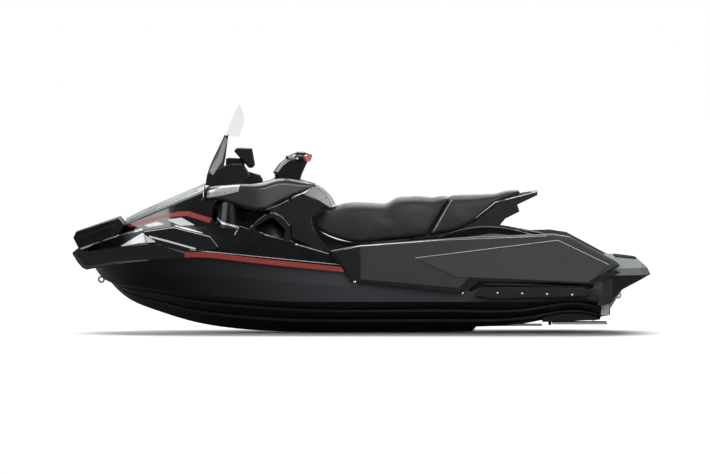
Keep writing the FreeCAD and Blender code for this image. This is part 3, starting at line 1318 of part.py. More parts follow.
# Jet pump: housing with stator vanes, hub, steering lugs and bucket bosses.
pump_length, barrel = size("pump_length"), size("barrel_length")
pump_radius, pump_bore = size("pump_radius"), size("pump_bore")
outlet, outlet_rim = size("outlet_radius"), size("outlet_radius") + size("outlet_wall")
hub_radius, vane_thickness = size("hub_radius"), size("vane_thickness")
VANE_COUNT = 6
vane_root = size("boss_root")
housing = new_body("housing_form", bay_front, 0, pump_z)
revolution(housing, [
    (0, pump_bore), (0, size("flange_radius")), (size("flange_thickness"), size("flange_radius")),
    (size("flange_thickness"), pump_radius), (barrel, pump_radius),
    (pump_length - size("cone_lip"), outlet_rim),
    (pump_length, outlet_rim), (pump_length, outlet), (pump_length - size("cone_lip"), outlet),
    (barrel, pump_bore),
], "housing")
vane_start = stator_x - bay_front
vane_plan = [
    (vane_start, -vane_thickness / 2), (vane_start + size("vane_length"), -vane_thickness / 2),
    (vane_start + size("vane_length"), vane_thickness / 2), (vane_start, vane_thickness / 2),
]
vane = pad(
    housing, sketch_on(housing, "vane_root", "XY_Plane", vane_plan, hub_radius - vane_root),
    pump_bore - hub_radius + 2 * vane_root, "vane",
)
round_pattern(housing, vane, VANE_COUNT)
hub_end = vane_start + size("stator_hub_length")
revolution(housing, [
    (vane_start, shaft_room), (vane_start, hub_radius), (hub_end, hub_radius),
    (hub_end + size("stator_cone_length"), size("stator_tip_radius")),
    (hub_end + size("stator_cone_length"), 0),
    (vane_start + bearing + size("shaft_clearance"), 0),
    (vane_start + bearing + size("shaft_clearance"), shaft_room),
], "hub")
nozzle_x = transom_x - size("nozzle_setback")
nozzle_in, nozzle_wall = size("nozzle_radius"), size("nozzle_wall")
lug_half, lug_low = size("lug_half_width"), nozzle_in + nozzle_wall + move_gap
lug_start = bay_front + barrel - size("cone_lip")
boss_radius, boss_start = size("boss_radius"), outlet + size("boss_root")
boss_length = bucket_half + size("boss_root") - boss_start
lug_span = nozzle_x + lug_half - lug_start
top_lug = box(
    "top_lug", lug_start, -lug_half, pump_z + lug_low, lug_span, 2 * lug_half, size("lug_thickness")
)
low_lug = box(
    "low_lug", lug_start, -lug_half, pump_z - lug_low - size("lug_thickness"), lug_span, 2 * lug_half,
    size("lug_thickness"),
)
bosses = [
    cylinder("starboard_boss", bucket_x, boss_start, pump_z, boss_radius, boss_length, Y_AXIS),
    cylinder("port_boss", bucket_x, -boss_start - boss_length, pump_z, boss_radius, boss_length, Y_AXIS),
]
pin_radius, pin_gap = size("pin_radius"), size("pin_gap")
pin_reach = nozzle_in + size("pin_length")
pin_bore = cylinder(
    "pin_bore", nozzle_x, 0, pump_z - pin_reach - overrun, pin_radius + pin_gap, 2 * (pin_reach + overrun)
)
housing_whole = fuse("housing_whole", [housing, top_lug, low_lug] + bosses)
publish("pump_housing", cut("pump_housing", housing_whole, pin_bore))

# Impeller: a hub with four blades, each lofted through turned stations.
BLADE_COUNT = 4
BLADE_STEPS = 4
BLADE_TURN = 24
impeller_length, tip = size("impeller_length"), size("impeller_radius")
blade, root = size("blade_thickness"), size("blade_root")
foot = hub_radius - root
impeller = Part.makeCylinder(hub_radius, impeller_length, V(impeller_x, 0, pump_z), X_AXIS)
for k in range(BLADE_COUNT):
    wires = []
    for step in range(BLADE_STEPS):
        turn = math.radians(360 / BLADE_COUNT * k + BLADE_TURN * step)
        c, s = math.cos(turn), math.sin(turn)
        x = impeller_x + root + step * (impeller_length - 2 * root) / (BLADE_STEPS - 1)
        corners = [(foot, -blade / 2), (tip, -blade / 2), (tip, blade / 2), (foot, blade / 2)]
        ring = [V(x, r * c - side * s, pump_z + r * s + side * c) for r, side in corners]
        wires.append(Part.makePolygon(ring + ring[:1]))
    impeller = impeller.fuse(Part.makeLoft(wires, True, True))
publish("impeller", shaped("impeller", impeller.cut(published["drive_shaft"].Shape)))

# Steering nozzle on its two pins.
nozzle_length, nozzle_out = size("nozzle_length"), size("nozzle_outlet")
nozzle_front, collar = size("nozzle_front"), size("nozzle_collar")
nozzle = new_body("nozzle_form", nozzle_x, 0, pump_z)
revolution(nozzle, [
    (-nozzle_front, nozzle_in), (-nozzle_front, nozzle_in + nozzle_wall), (collar, nozzle_in + nozzle_wall),
    (nozzle_length - nozzle_front, nozzle_out + nozzle_wall), (nozzle_length - nozzle_front, nozzle_out),
    (collar, nozzle_in),
], "nozzle")
pin_start = nozzle_in + nozzle_wall / 3
top_pin = cylinder("top_pin", nozzle_x, 0, pump_z + pin_start, pin_radius, pin_reach - pin_start)
low_pin = cylinder("low_pin", nozzle_x, 0, pump_z - pin_reach, pin_radius, pin_reach - pin_start)
publish("steering_nozzle", fuse("steering_nozzle", [nozzle, top_pin, low_pin]))

# Reverse bucket: two arms and a curved shell, drawn raised.
bucket_wall = size("bucket_wall")
FAN_REACH_SHARE = 2


def across_cylinder(name, x, z, radius, half):
    return cylinder(name, x, -half, z, radius, 2 * half, Y_AXIS)


disc = across_cylinder("bucket_disc", bucket_x, pump_z, bucket_radius, bucket_half)
inner_disc = across_cylinder(
    "bucket_inside", bucket_x, pump_z, bucket_radius - bucket_wall, bucket_half - bucket_wall
)
hubs = across_cylinder("bucket_hubs", bucket_x, pump_z, 2 * boss_radius, bucket_half)
bucket_bore = across_cylinder("bucket_bore", bucket_x, pump_z, boss_radius + pin_gap, bucket_half + overrun)
fan = [(0, 0)]
low_angle, high_angle = angle("bucket_low_angle"), angle("bucket_high_angle")
for turn in (low_angle, (low_angle + high_angle) / 2, high_angle):
    fan_reach = FAN_REACH_SHARE * bucket_radius
    fan.append((math.cos(turn) * fan_reach, math.sin(turn) * fan_reach))
fan_body = new_body("bucket_fan", bucket_x, bucket_half, pump_z)
pad(fan_body, sketch_on(fan_body, "fan_outline", "XZ_Plane", fan), 2 * bucket_half)
bucket_solid = fuse("bucket_solid", [common("bucket_sector", disc, fan_body), hubs])
publish("reverse_bucket", cut("reverse_bucket", bucket_solid, inner_disc, bucket_bore))

# Ride plate behind the pump flange, and the intake grate under the duct.
plate_start = bay_front + size("flange_thickness") + move_gap
plate_length, plate_half = size("plate_length"), bay_half - seat_gap
plate = new_body("ride_plate", plate_start, 0, keel_z + size("plate_rise"))
pad(plate, sketch_on(plate, "plate_outline", "XY_Plane", [
    (0, -plate_half), (plate_length, -plate_half), (plate_length, plate_half), (0, plate_half),
]), size("plate_thickness"))
round_edges(plate, plate.Tip, size("plate_radius"), lambda p: p.x > plate_length - overrun / 4)
publish("ride_plate", plate)
grate_length, grate_bar = size("grate_length"), size("grate_bar")
grate_start = bay_front - duct_length + 2 * overrun
GRATE_SLOTS = 4
slot_pitch = (2 * duct_half - grate_bar) / GRATE_SLOTS
grate = new_body("grate_form", grate_start, 0, keel_z + size("grate_rise"))
pad(grate, sketch_on(grate, "grate_outline", "XY_Plane", [
    (0, -duct_half), (grate_length, -duct_half), (grate_length, duct_half), (0, duct_half),
]), size("grate_thickness"))
for k in range(GRATE_SLOTS):
    low_y = grate_bar - duct_half + k * slot_pitch
    high_y = low_y + slot_pitch - grate_bar
    far = grate_length - overrun
    slot = [(overrun, low_y), (far, low_y), (far, high_y), (overrun, high_y)]
    pocket(grate, sketch_on(grate, f"slot_{k}", "XY_Plane", slot), name=f"slot_cut_{k}")
doc.recompute()
publish("intake_grate", shaped("intake_grate", grate.Shape.cut(hull_shape)))

# Boarding step: two arms and a foot bar of tube, stowed against the platform, with its brackets.
step_x, step_z = transom_x + size("step_setback"), keel_z + size("step_rise")
step_half, tube, reach = size("step_half_width"), size("step_tube"), size("step_reach")
slope = angle("step_angle")
foot_x, foot_z = step_x + math.cos(slope) * reach, step_z + math.sin(slope) * reach
EYE_SHARE, STUB_SHARE = 1.6, 0.6
stub_radius = STUB_SHARE * tube
path = Part.makePolygon([
    V(step_x, -step_half, step_z), V(foot_x, -step_half, foot_z), V(foot_x, step_half, foot_z),
    V(step_x, step_half, step_z),
])
circle = Part.makeCircle(tube, V(step_x, -step_half, step_z), V(math.cos(slope), 0, math.sin(slope)))
step_shape = Part.Wire(path).makePipeShell([Part.Wire(circle)], True, False, 1)
brackets = []
for side in (1, -1):
    step_shape = step_shape.fuse(Part.makeCylinder(
        EYE_SHARE * tube, 2 * tube, V(step_x, side * step_half - tube, step_z), Y_AXIS))
    step_shape = step_shape.cut(Part.makeCylinder(
        stub_radius + pin_gap, 4 * tube, V(step_x, side * step_half - 2 * tube, step_z), Y_AXIS))
    plate_y = side * (step_half + 2 * tube + move_gap)
    bracket_plate = Part.makeBox(
        step_x + EYE_SHARE * tube - transom_x, size("step_plate"), size("step_plate_height"),
        V(transom_x, plate_y - size("step_plate") / 2, step_z - size("step_plate_drop")))
    stub_y = side * (step_half - EYE_SHARE * tube)
    stub = Part.makeCylinder(
        stub_radius, (2 + EYE_SHARE) * tube + move_gap, V(step_x, stub_y, step_z), side * Y_AXIS)
    brackets.append(bracket_plate.fuse(stub).cut(hull_shape).cut(aft_shape))
publish("boarding_step", shaped("boarding_step", step_shape))
step_brackets = doc.addObject("Part::Feature", "step_brackets")
step_brackets.Shape = Part.makeCompound([max(b.Solids, key=lambda solid: solid.Volume) for b in brackets])
publish("step_brackets", step_brackets)


# Lifting and towing eyes.
def eye_plate(x, y, z, arm, slope_degrees):
    """A ring with an arm that reaches into the hull, lying along the boat."""
    thick, radius = size("eye_thickness"), size("eye_radius")
    face = -thick / 2 + y
    ring = Part.makeCylinder(radius, thick, V(x, face, z), Y_AXIS)
    stalk = Part.makeBox(arm, thick, EYE_SHARE * radius, V(x, face, z - EYE_SHARE / 2 * radius))
    stalk.rotate(V(x, y, z), Y_AXIS, -slope_degrees)
    hole = Part.makeCylinder(size("eye_bore"), 2 * thick, V(x, face - thick / 2, z), Y_AXIS)
    return ring.fuse(stalk).cut(hole)


bow_eye = eye_plate(
    bow_x + size("bow_eye_setback"), 0, keel_z + size("bow_eye_rise"), size("bow_eye_arm"),
    float(size("bow_eye_slope")),
).cut(hull_shape)
publish("bow_eye", shaped("bow_eye", bow_eye))
stern_eye = eye_plate(
    bow_x + size("stern_eye_setback"), -size("stern_eye_y"), keel_z + size("stern_eye_rise"),
    size("stern_eye_arm"), float(size("stern_eye_slope")),
).cut(aft_shape).cut(hull_shape)
publish("stern_eyes", pair("stern_eyes", shaped("port_stern_eye", stern_eye)))

# Steering: stem, cover, handlebar, grips and levers, turning about the tilted column.
COVER_SHARES = [
    (0.0, -0.35), (0.0, 0.0), (0.018, 0.17), (0.124, 0.39), (0.217, 0.563), (0.336, 0.696),
    (0.518, 0.892), (0.704, 1.0), (0.9, 0.98), (1.0, 0.86), (0.98, 0.62), (0.9, 0.392), (0.82, 0.127),
    (0.76, -0.15), (0.72, -0.35),
]
stem = cylinder(
    "steering_stem", *along_column(stem_depth - size("stem_foot_gap")), stem_radius, size("stem_height"),
    column_axis,
)
publish("steering_stem", stem)
cover_body = across_body("cover_form", "cover", COVER_SHARES, size("cover_half_width"))
round_edges(cover_body, cover_body.Tip, size("cover_radius"), lambda p: True)
bar_x, bar_z = bow_x + size("bar_setback"), keel_z + size("bar_rise")
bar_half, bar_radius, bar_straight = size("bar_half_width"), size("bar_radius"), size("bar_straight")
bar_sweep = size("bar_sweep")
bar = new_body("handlebar", bar_x, 0, bar_z)
bar_points = [(0, 0), (0, bar_straight), (bar_sweep, bar_half)]
bar_path = sketch_on(bar, "bar_path", "XY_Plane", bar_points, closed=False)
bar_ring = bar.newObject("Sketcher::SketchObject", "bar_ring")
bar_ring.AttachmentSupport = (origin_feature(bar, "XZ_Plane"), "")
bar_ring.MapMode = "FlatFace"
bar_ring.addGeometry(Part.Circle(V(0, 0, 0), Z_AXIS, float(bar_radius)))
ring_index = bar_ring.addConstraint(Sketcher.Constraint("Radius", 0, float(bar_radius)))
bar_ring.setExpression(f"Constraints[{ring_index}]", bar_radius.text())
bar_ring.addConstraint(Sketcher.Constraint("Coincident", 0, 3, -1, 1))
bar_pipe = bar.newObject("PartDesign::AdditivePipe", "bar_pipe")
bar_pipe.Profile = bar_ring
bar_pipe.Spine = bar_path
bar_pipe.Transition = "Round corner"
doc.recompute()
bar_twin = bar.newObject("PartDesign::Mirrored", "bar_twin")
bar_twin.Originals = [bar_pipe]
bar_twin.MirrorPlane = (origin_feature(bar, "XZ_Plane"), [""])
bar.Tip = bar_twin
doc.recompute()
publish("handlebar", bar)
bar_shape = bar.Shape

outboard = V(float(bar_sweep), float(bar_half - bar_straight), 0)
outboard.normalize()
grip_length, grip_end = size("grip_length"), size("grip_end_length")


def on_bar(distance):
    """A place on the swept part of the bar, at a distance inboard of its starboard end."""
    return bar_x + bar_sweep - outboard.x * distance, bar_half - outboard.y * distance, bar_z


grip = cylinder("grip_sleeve", *on_bar(grip_end + grip_length), size("grip_radius"), grip_length, outboard)
publish("grips", pair("grips", cut("starboard_grip", grip, bar)))
grip_cap = cylinder(
    "grip_cap", *on_bar(grip_end), size("grip_end_radius"), grip_end + bar_radius / 2, outboard
)
publish("grip_ends", pair("grip_ends", cut("starboard_cap", grip_cap, bar)))

# Each lever: a finger blade ahead of the grip and a clamp on the bar.
LEVER_SHARES = [
    (0, -0.2), (0, 0.6), (0.2, 1.1), (0.55, 1.25), (1.0, 1.1), (1.0, 0.9), (0.56, 1.0), (0.27, 0.85),
    (0.2, -0.2),
]
lever_length, lever_reach, lever_thick = size("lever_length"), size("lever_reach"), size("lever_thickness")
lever_root = grip_end + grip_length + size("lever_clamp") + move_gap
swept = math.degrees(math.atan2(outboard.y, outboard.x))
lever_x, lever_y, lever_z = on_bar(lever_root)
along_bar = FreeCAD.Rotation(Z_AXIS, swept)
lever_body = new_body("lever_form", lever_x, lever_y, lever_z - lever_thick / 2, along_bar)
lever_plan = [(u * lever_length, v * lever_reach) for u, v in LEVER_SHARES]
pad(lever_body, sketch_on(lever_body, "lever_outline", "XY_Plane", lever_plan), lever_thick)
clamp = cylinder("lever_clamp", *on_bar(lever_root), size("grip_radius"), size("lever_clamp"), outboard)
publish("levers", pair("levers", cut("starboard_lever", fuse("lever_whole", [lever_body, clamp]), bar)))
doc.recompute()
lever_pair = [feature.Shape for feature in published["levers"].Links]
cover_shape = cover_body.Shape.cut(stem.Shape).cut(bar_shape).cut(lever_pair)
upper = Part.makeBox(length, length, length, V(-length / 2, -length / 2, 0))
upper.rotate(V(0, 0, 0), Y_AXIS, float(size("column_tilt")))
upper.translate(V(*along_column(-1 * move_gap)))
publish("steering_cover", shaped("steering_cover", cover_shape.common(upper)))

doc.recompute()
for feature in doc.Objects:
    if "Invalid" in feature.State or "Error" in feature.State:
        raise ValueError(f"{feature.Name} did not build")
for name, feature in published.items():
    if feature.Shape.isNull() or not feature.Shape.isValid():
        raise ValueError(f"{name} has no valid shape")
os.makedirs("parts", exist_ok=True)
for name, feature in published.items():
    feature.Shape.exportStep(f"parts/{name}.step")
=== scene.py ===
"""Personal watercraft in a pale studio: finishes, seat covers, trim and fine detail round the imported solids.

Metres, in the solids' own frame: X aft, Y to starboard, Z up from the waterline.
"""
import json
import math

import bmesh
import bpy
from mathutils import Matrix, Vector
from mathutils.bvhtree import BVHTree


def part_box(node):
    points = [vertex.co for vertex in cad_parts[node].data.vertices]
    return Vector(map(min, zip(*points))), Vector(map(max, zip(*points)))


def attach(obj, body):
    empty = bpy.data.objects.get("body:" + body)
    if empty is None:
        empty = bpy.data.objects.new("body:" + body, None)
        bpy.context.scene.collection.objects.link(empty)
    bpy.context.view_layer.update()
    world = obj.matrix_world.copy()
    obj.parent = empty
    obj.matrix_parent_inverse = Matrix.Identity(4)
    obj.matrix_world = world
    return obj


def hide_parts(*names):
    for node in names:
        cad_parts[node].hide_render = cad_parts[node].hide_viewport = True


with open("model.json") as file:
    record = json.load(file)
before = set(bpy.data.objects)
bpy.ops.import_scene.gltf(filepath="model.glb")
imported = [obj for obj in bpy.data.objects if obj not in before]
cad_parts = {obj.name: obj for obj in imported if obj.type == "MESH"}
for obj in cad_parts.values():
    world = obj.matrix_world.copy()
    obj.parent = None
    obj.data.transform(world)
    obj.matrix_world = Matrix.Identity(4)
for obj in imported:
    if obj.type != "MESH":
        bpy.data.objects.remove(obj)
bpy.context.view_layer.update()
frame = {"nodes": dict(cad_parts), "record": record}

# Photograph: 710 by 474, 6.2 mm to a pixel at the centreline.
PHOTO_WIDTH = 710
METRES_A_PIXEL = 0.0062
MIDSHIP_PIXEL = 361
WATERLINE_PIXEL = 285.2
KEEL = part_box("hull")[0].z
BEYOND = 2.0


def place(px, py):
    """X and Z of a photograph pixel on the centreline."""
    return (px - MIDSHIP_PIXEL) * METRES_A_PIXEL, (WATERLINE_PIXEL - py) * METRES_A_PIXEL


# Finishes, each built from procedural nodes on Object coordinates.
COAT_ROUGHNESS = 0.03
DRIFT_SCALE = 3.0
GLOSS_SCALE = 9.0
GLOSS_SPREAD = 0.15
GRAIN_DETAIL = 2.0
GRAIN_DEPTH = 0.0006
finishes = {}


def new_material(name, colour, roughness, metallic=0.0, coat=0.0, specular=0.5, transmission=0.0):
    """A material and its shader, with its plain values set on the shader."""
    material = bpy.data.materials.new(name)
    material.use_nodes = True
    shader = material.node_tree.nodes["Principled BSDF"]
    shader.inputs["Base Color"].default_value = (*colour, 1)
    shader.inputs["Roughness"].default_value = roughness
    shader.inputs["Metallic"].default_value = metallic
    shader.inputs["Coat Weight"].default_value = coat
    shader.inputs["Coat Roughness"].default_value = COAT_ROUGHNESS
    shader.inputs["Specular IOR Level"].default_value = specular
    shader.inputs["Transmission Weight"].default_value = transmission
    finishes[name] = material
    return material, shader


def node(owner, kind, **values):
    """A node of a material or the world, with its values set by name."""
    made = owner.node_tree.nodes.new(kind)
    for key, value in values.items():
        if key in made.inputs:
            made.inputs[key].default_value = value
        else:
            setattr(made, key, value)
    return made


def link(owner, source, target):
    owner.node_tree.links.new(source, target)


def pattern(material, kind, output, **values):
    """A pattern over the piece's own coordinates."""
    coordinates = node(material, "ShaderNodeTexCoord")
    made = node(material, kind, **values)
    link(material, coordinates.outputs["Object"], made.inputs["Vector"])
    return made.outputs[output]


def noise(material, scale, detail=4.0):
    return pattern(material, "ShaderNodeTexNoise", "Fac", Scale=scale, Detail=detail, Roughness=0.5)


def bands_across(material, scale):
    """Bands that follow one another from side to side of the craft."""
    return pattern(material, "ShaderNodeTexWave", "Fac", bands_direction="Y", Scale=scale)


def ramp(material, source, low, high, start=0.3, end=0.7):
    """Two colours blended by a value."""
    blend = node(material, "ShaderNodeValToRGB")
    blend.color_ramp.elements[0].position = start
    blend.color_ramp.elements[0].color = (*low, 1)
    blend.color_ramp.elements[1].position = end
    blend.color_ramp.elements[1].color = (*high, 1)
    link(material, source, blend.inputs["Fac"])
    return blend.outputs["Color"]


def share_between(material, value, start, end, blend="LINEAR"):
    """How far a value lies between two ends, from 0 to 1."""
    share = node(material, "ShaderNodeMapRange", interpolation_type=blend)
    share.inputs["From Min"].default_value = start
    share.inputs["From Max"].default_value = end
    link(material, value, share.inputs["Value"])
    return share.outputs["Result"]


def add_bump(material, shader, height, strength, distance):
    bump = node(material, "ShaderNodeBump", Strength=strength, Distance=distance)
    link(material, height, bump.inputs["Height"])
    link(material, bump.outputs["Normal"], shader.inputs["Normal"])


def tint(colour, factor):
    return tuple(min(1.0, channel * factor) for channel in colour)


def colour_drift(material, shader, colour, scale, darkest, palest):
    """Lets a finish wander between a darker and a paler tint of its colour."""
    drift = ramp(material, noise(material, scale), tint(colour, darkest), tint(colour, palest))
    link(material, drift, shader.inputs["Base Color"])


def uneven_gloss(material, shader, roughness, scale, spread=GLOSS_SPREAD):
    low, high = (roughness * (1 - spread),) * 3, (roughness * (1 + spread),) * 3
    link(material, ramp(material, noise(material, scale), low, high), shader.inputs["Roughness"])


def moulded_surface(material, shader, roughness, grain_scale, grain_strength):
    """Uneven gloss and a fine moulded grain."""
    uneven_gloss(material, shader, roughness, GLOSS_SCALE)
    grain = noise(material, grain_scale, GRAIN_DETAIL)
    add_bump(material, shader, grain, grain_strength, GRAIN_DEPTH)


def moulded(name, colour, roughness, grain_scale, grain_strength, coat=0.0, specular=0.5, spread=0.1):
    """Plastic or rubber whose colour drifts slightly."""
    material, shader = new_material(name, colour, roughness, coat=coat, specular=specular)
    colour_drift(material, shader, colour, DRIFT_SCALE, 1 - spread, 1 + spread)
    moulded_surface(material, shader, roughness, grain_scale, grain_strength)


# Colour, roughness, grain scale and strength, then coat, specular and colour spread where they differ.
MOULDED_FINISHES = {
    "hull_black": ((0.0030, 0.0034, 0.0048), 0.22, 60, 0.006, 0.2, 0.4),
    "deck_grey": ((0.0024, 0.0028, 0.0032), 0.26, 60, 0.01, 0.1, 0.28),
    "gloss_black": ((0.0030, 0.0048, 0.0046), 0.13, 30, 0.004, 0.9),
    "gloss_white": ((0.72, 0.74, 0.76), 0.18, 30, 0.005, 0.8, 0.5, 0.03),
    "stripe_red": ((0.32, 0.042, 0.032), 0.28, 60, 0.01, 0.4),
    "panel_grey": ((0.026, 0.027, 0.029), 0.42, 700, 0.12, 0.0, 0.4),
    "inset_grey": ((0.040, 0.045, 0.044), 0.5, 700, 0.14, 0.0, 0.35),
    "trim_black": ((0.0030, 0.0031, 0.0035), 0.42, 500, 0.12, 0.0, 0.28),
    "satin_black": ((0.0075, 0.0088, 0.0088), 0.34, 120, 0.02, 0.0, 0.3),
    "console_grey": ((0.020, 0.021, 0.022), 0.3, 60, 0.01, 0.4),
    # Painted reflection: the storage lid's pale colour stands for the white studio reflected in its dark
    # gloss.
    "lid_painted_reflection": ((0.36, 0.385, 0.385), 0.3, 60, 0.01, 0.5),
    "frame_grey": ((0.30, 0.30, 0.315), 0.4, 90, 0.03),
    "screen_dark": ((0.004, 0.005, 0.007), 0.06, 30, 0.0, 1.0),
    "grip_red": ((0.42, 0.055, 0.018), 0.32, 80, 0.02, 0.5),
    "seat_thread": ((0.075, 0.078, 0.082), 0.6, 900, 0.3),
}
for name, values in MOULDED_FINISHES.items():
    moulded(name, *values)


def metal(name, colour, roughness, grain_scale, metallic=1.0):
    """Metal or metal paint with a faint grain."""
    material, shader = new_material(name, colour, roughness, metallic=metallic)
    uneven_gloss(material, shader, roughness, grain_scale, spread=0.25)
    add_bump(material, shader, noise(material, grain_scale * 4, 3.0), strength=0.06, distance=0.0003)


# Colour, roughness and grain scale, then how metallic where it is paint.
METAL_FINISHES = {
    "silver_trim": ((0.55, 0.57, 0.58), 0.32, 60, 0.55),
    "steel": ((0.62, 0.63, 0.64), 0.22, 80),
    "pump_alloy": ((0.42, 0.43, 0.44), 0.42, 50),
    "engine_block": ((0.12, 0.12, 0.13), 0.6, 40),
}
for name, values in METAL_FINISHES.items():
    metal(name, *values)


def seat_leather(name, colour, roughness):
    """The covers' grained leather."""
    material, shader = new_material(name, colour, roughness, specular=0.35)
    colour_drift(material, shader, colour, scale=5.0, darkest=0.85, palest=1.2)
    uneven_gloss(material, shader, roughness, scale=14.0)
    cells = pattern(material, "ShaderNodeTexVoronoi", "Distance", feature="SMOOTH_F1", Scale=320.0)
    add_bump(material, shader, cells, strength=0.22, distance=GRAIN_DEPTH)


def grooved_foam(name, colour, roughness):
    """The mats' speckled foam."""
    material, shader = new_material(name, colour, roughness, specular=0.05)
    colour_drift(material, shader, colour, scale=220.0, darkest=0.7, palest=1.4)
    add_bump(material, shader, bands_across(material, 14.0), strength=0.7, distance=0.002)


def ribbed_rubber(name, colour, roughness):
    """The grips' ribbed rubber."""
    material, shader = new_material(name, colour, roughness, specular=0.3)
    add_bump(material, shader, bands_across(material, 60.0), strength=0.6, distance=0.0015)
    uneven_gloss(material, shader, roughness, scale=40.0)


def clear_shield(name, colour, roughness):
    """The windscreen's faintly tinted plastic."""
    material, shader = new_material(name, colour, roughness, transmission=1.0)
    shader.inputs["IOR"].default_value = 1.12
    shader.inputs["Alpha"].default_value = 0.06
    uneven_gloss(material, shader, roughness, scale=6.0)


seat_leather("seat_charcoal", (0.024, 0.025, 0.027), roughness=0.46)
grooved_foam("mat_black", (0.012, 0.012, 0.013), roughness=0.85)
ribbed_rubber("grip_black", (0.010, 0.010, 0.010), roughness=0.6)
clear_shield("shield_clear", (0.80, 0.88, 0.95), roughness=0.03)

# The hull and the aft platform are gloss shells whose colour changes with height or length; the hull's change
# is a painted sheen on its topsides aft.
SHELL_ROUGHNESS = 0.22
SHELL_GRAIN_SCALE = 60
PLATFORM_WHITE = (0.46, 0.485, 0.49)
PLATFORM_GREY = (0.20, 0.22, 0.225)
PLATFORM_BLACK = (0.006, 0.0062, 0.007)
PLATFORM_EDGE_PIXELS = (266.4, 273.4)
HULL_BLACK = (0.0030, 0.0034, 0.0048)
# Painted sheen: the charcoal that the topsides turn to aft, where light falls on them.
HULL_PAINTED_SHEEN = (0.078, 0.080, 0.090)
HULL_SHEEN_FADE_PIXELS = (160, 420)
CHINE_PIXELS = (299.6, 298.8)


def platform_shell(name):
    """White on top, grey along the edge and black below."""
    material, shader = new_material(name, PLATFORM_WHITE, SHELL_ROUGHNESS, coat=0.5)
    lowest, highest = KEEL, -KEEL
    edge_top, edge_foot = (place(0, py)[1] for py in PLATFORM_EDGE_PIXELS)
    bands = [(lowest, PLATFORM_BLACK), (edge_foot, PLATFORM_GREY), (edge_top, PLATFORM_WHITE)]
    blend = node(material, "ShaderNodeValToRGB")
    blend.color_ramp.interpolation = "CONSTANT"
    while len(blend.color_ramp.elements) < len(bands):
        blend.color_ramp.elements.new(1.0)
    for element, (height, colour) in zip(blend.color_ramp.elements, bands):
        element.position = max(0.0, (height - lowest) / (highest - lowest))
        element.color = (*colour, 1)
    rise = pattern(material, "ShaderNodeSeparateXYZ", "Z")
    link(material, share_between(material, rise, lowest, highest), blend.inputs["Fac"])
    link(material, blend.outputs["Color"], shader.inputs["Base Color"])
    moulded_surface(material, shader, SHELL_ROUGHNESS, SHELL_GRAIN_SCALE, grain_strength=0.01)


def hull_painted_sheen_shell(name):
    """Black, with a painted sheen: its topsides above the chine turn to charcoal aft."""
    material, shader = new_material(name, HULL_BLACK, SHELL_ROUGHNESS, coat=0.2, specular=0.4)
    both = node(material, "ShaderNodeMath", operation="MULTIPLY")
    ends = {"X": [place(px, 0)[0] for px in HULL_SHEEN_FADE_PIXELS], "Z": [place(0, py)[1] for py in CHINE_PIXELS]}
    for way, (axis, (start, end)) in enumerate(ends.items()):
        value = pattern(material, "ShaderNodeSeparateXYZ", axis)
        link(material, share_between(material, value, start, end, "SMOOTHSTEP"), both.inputs[way])
    blend = ramp(material, both.outputs["Value"], HULL_BLACK, HULL_PAINTED_SHEEN, start=0.0, end=1.0)
    link(material, blend, shader.inputs["Base Color"])
    moulded_surface(material, shader, SHELL_ROUGHNESS, SHELL_GRAIN_SCALE, grain_strength=0.006)


platform_shell("platform_shell")
hull_painted_sheen_shell("hull_painted_sheen_shell")

# Nodes whose finish in the photograph isn't the one that their slot names.
NODE_FINISHES = {
    "aft_deck": "platform_shell",
    "console_cover": "console_grey",
    # The hull's finish carries a painted sheen on its topsides aft.
    "hull": "hull_painted_sheen_shell",
    "knee_panels": "satin_black",
    "levers": "silver_trim",
    "side_trims": "hull_black",
    "steering_cover": "hull_black",
    # Painted reflection: the storage lid's pale colour.
    "storage_lid": "lid_painted_reflection",
}
for row in frame["record"]["subparts"]:
    solid = frame["nodes"][row["node"]]
    solid.data.materials.clear()
    solid.data.materials.append(finishes[NODE_FINISHES.get(row["node"], row["material_slot"])])


# Pieces: each is a bmesh turned into an object that rides on a body.
def piece(name, mesh, finish, body="craft", smooth=True):
    """Puts a bmesh into the scene as one finished piece."""
    data = bpy.data.meshes.new(name)
    bmesh.ops.recalc_face_normals(mesh, faces=mesh.faces)
    mesh.to_mesh(data)
    mesh.free()
    made = bpy.data.objects.new(name, data)
    bpy.context.collection.objects.link(made)
    made.data.materials.append(finishes[finish])
    if smooth:
        made.data.shade_smooth()
    else:
        made.data.shade_flat()
    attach(made, body)
    return made


def thicken(made, thickness):
    """Gives a sheet its thickness, outwards."""
    solidify = made.modifiers.new("thickness", "SOLIDIFY")
    solidify.thickness = thickness
    solidify.offset = 1.0


def curve_mesh(curve):
    """A bmesh of a curve's tube."""
    holder = bpy.data.objects.new(curve.name, curve)
    tube = bmesh.new()
    tube.from_mesh(bpy.data.meshes.new_from_object(holder))
    bpy.data.objects.remove(holder)
    return tube


def surface_over(*meshes):
    """The faces of some meshes, for laying trim on them."""
    merged = bmesh.new()
    for mesh in meshes:
        merged.from_mesh(mesh)
    tree = BVHTree.FromBMesh(merged)
    merged.free()
    return tree


def surface_of(*names):
    """The faces of some solids."""
    return surface_over(*(frame["nodes"][name].data for name in names))


def flank(tree, x, z):
    """The port face of some solids at a place in the side view."""
    hit = tree.ray_cast(Vector((x, -BEYOND, z)), Vector((0, 1, 0)))[0]
    if hit is None:
        hit = tree.find_nearest(Vector((x, -BEYOND / 4, z)))[0]
    return hit.y


def along(points, share):
    """The place at a share of the length of a line of points."""
    steps = [(Vector(b) - Vector(a)).length for a, b in zip(points, points[1:])]
    left = share * sum(steps)
    for (a, b), step in zip(zip(points, points[1:]), steps):
        if left <= step:
            return Vector(a).lerp(Vector(b), left / step)
        left -= step
    return Vector(points[-1])


# Strips and lines stand a little proud of the solids that they lie on.
STRIP_LIFT = 0.0012
PROUD_LIFT = 0.003
RIM_LIFT = 0.004
STRIP_STEPS = 60
LINE_STEPS = 80


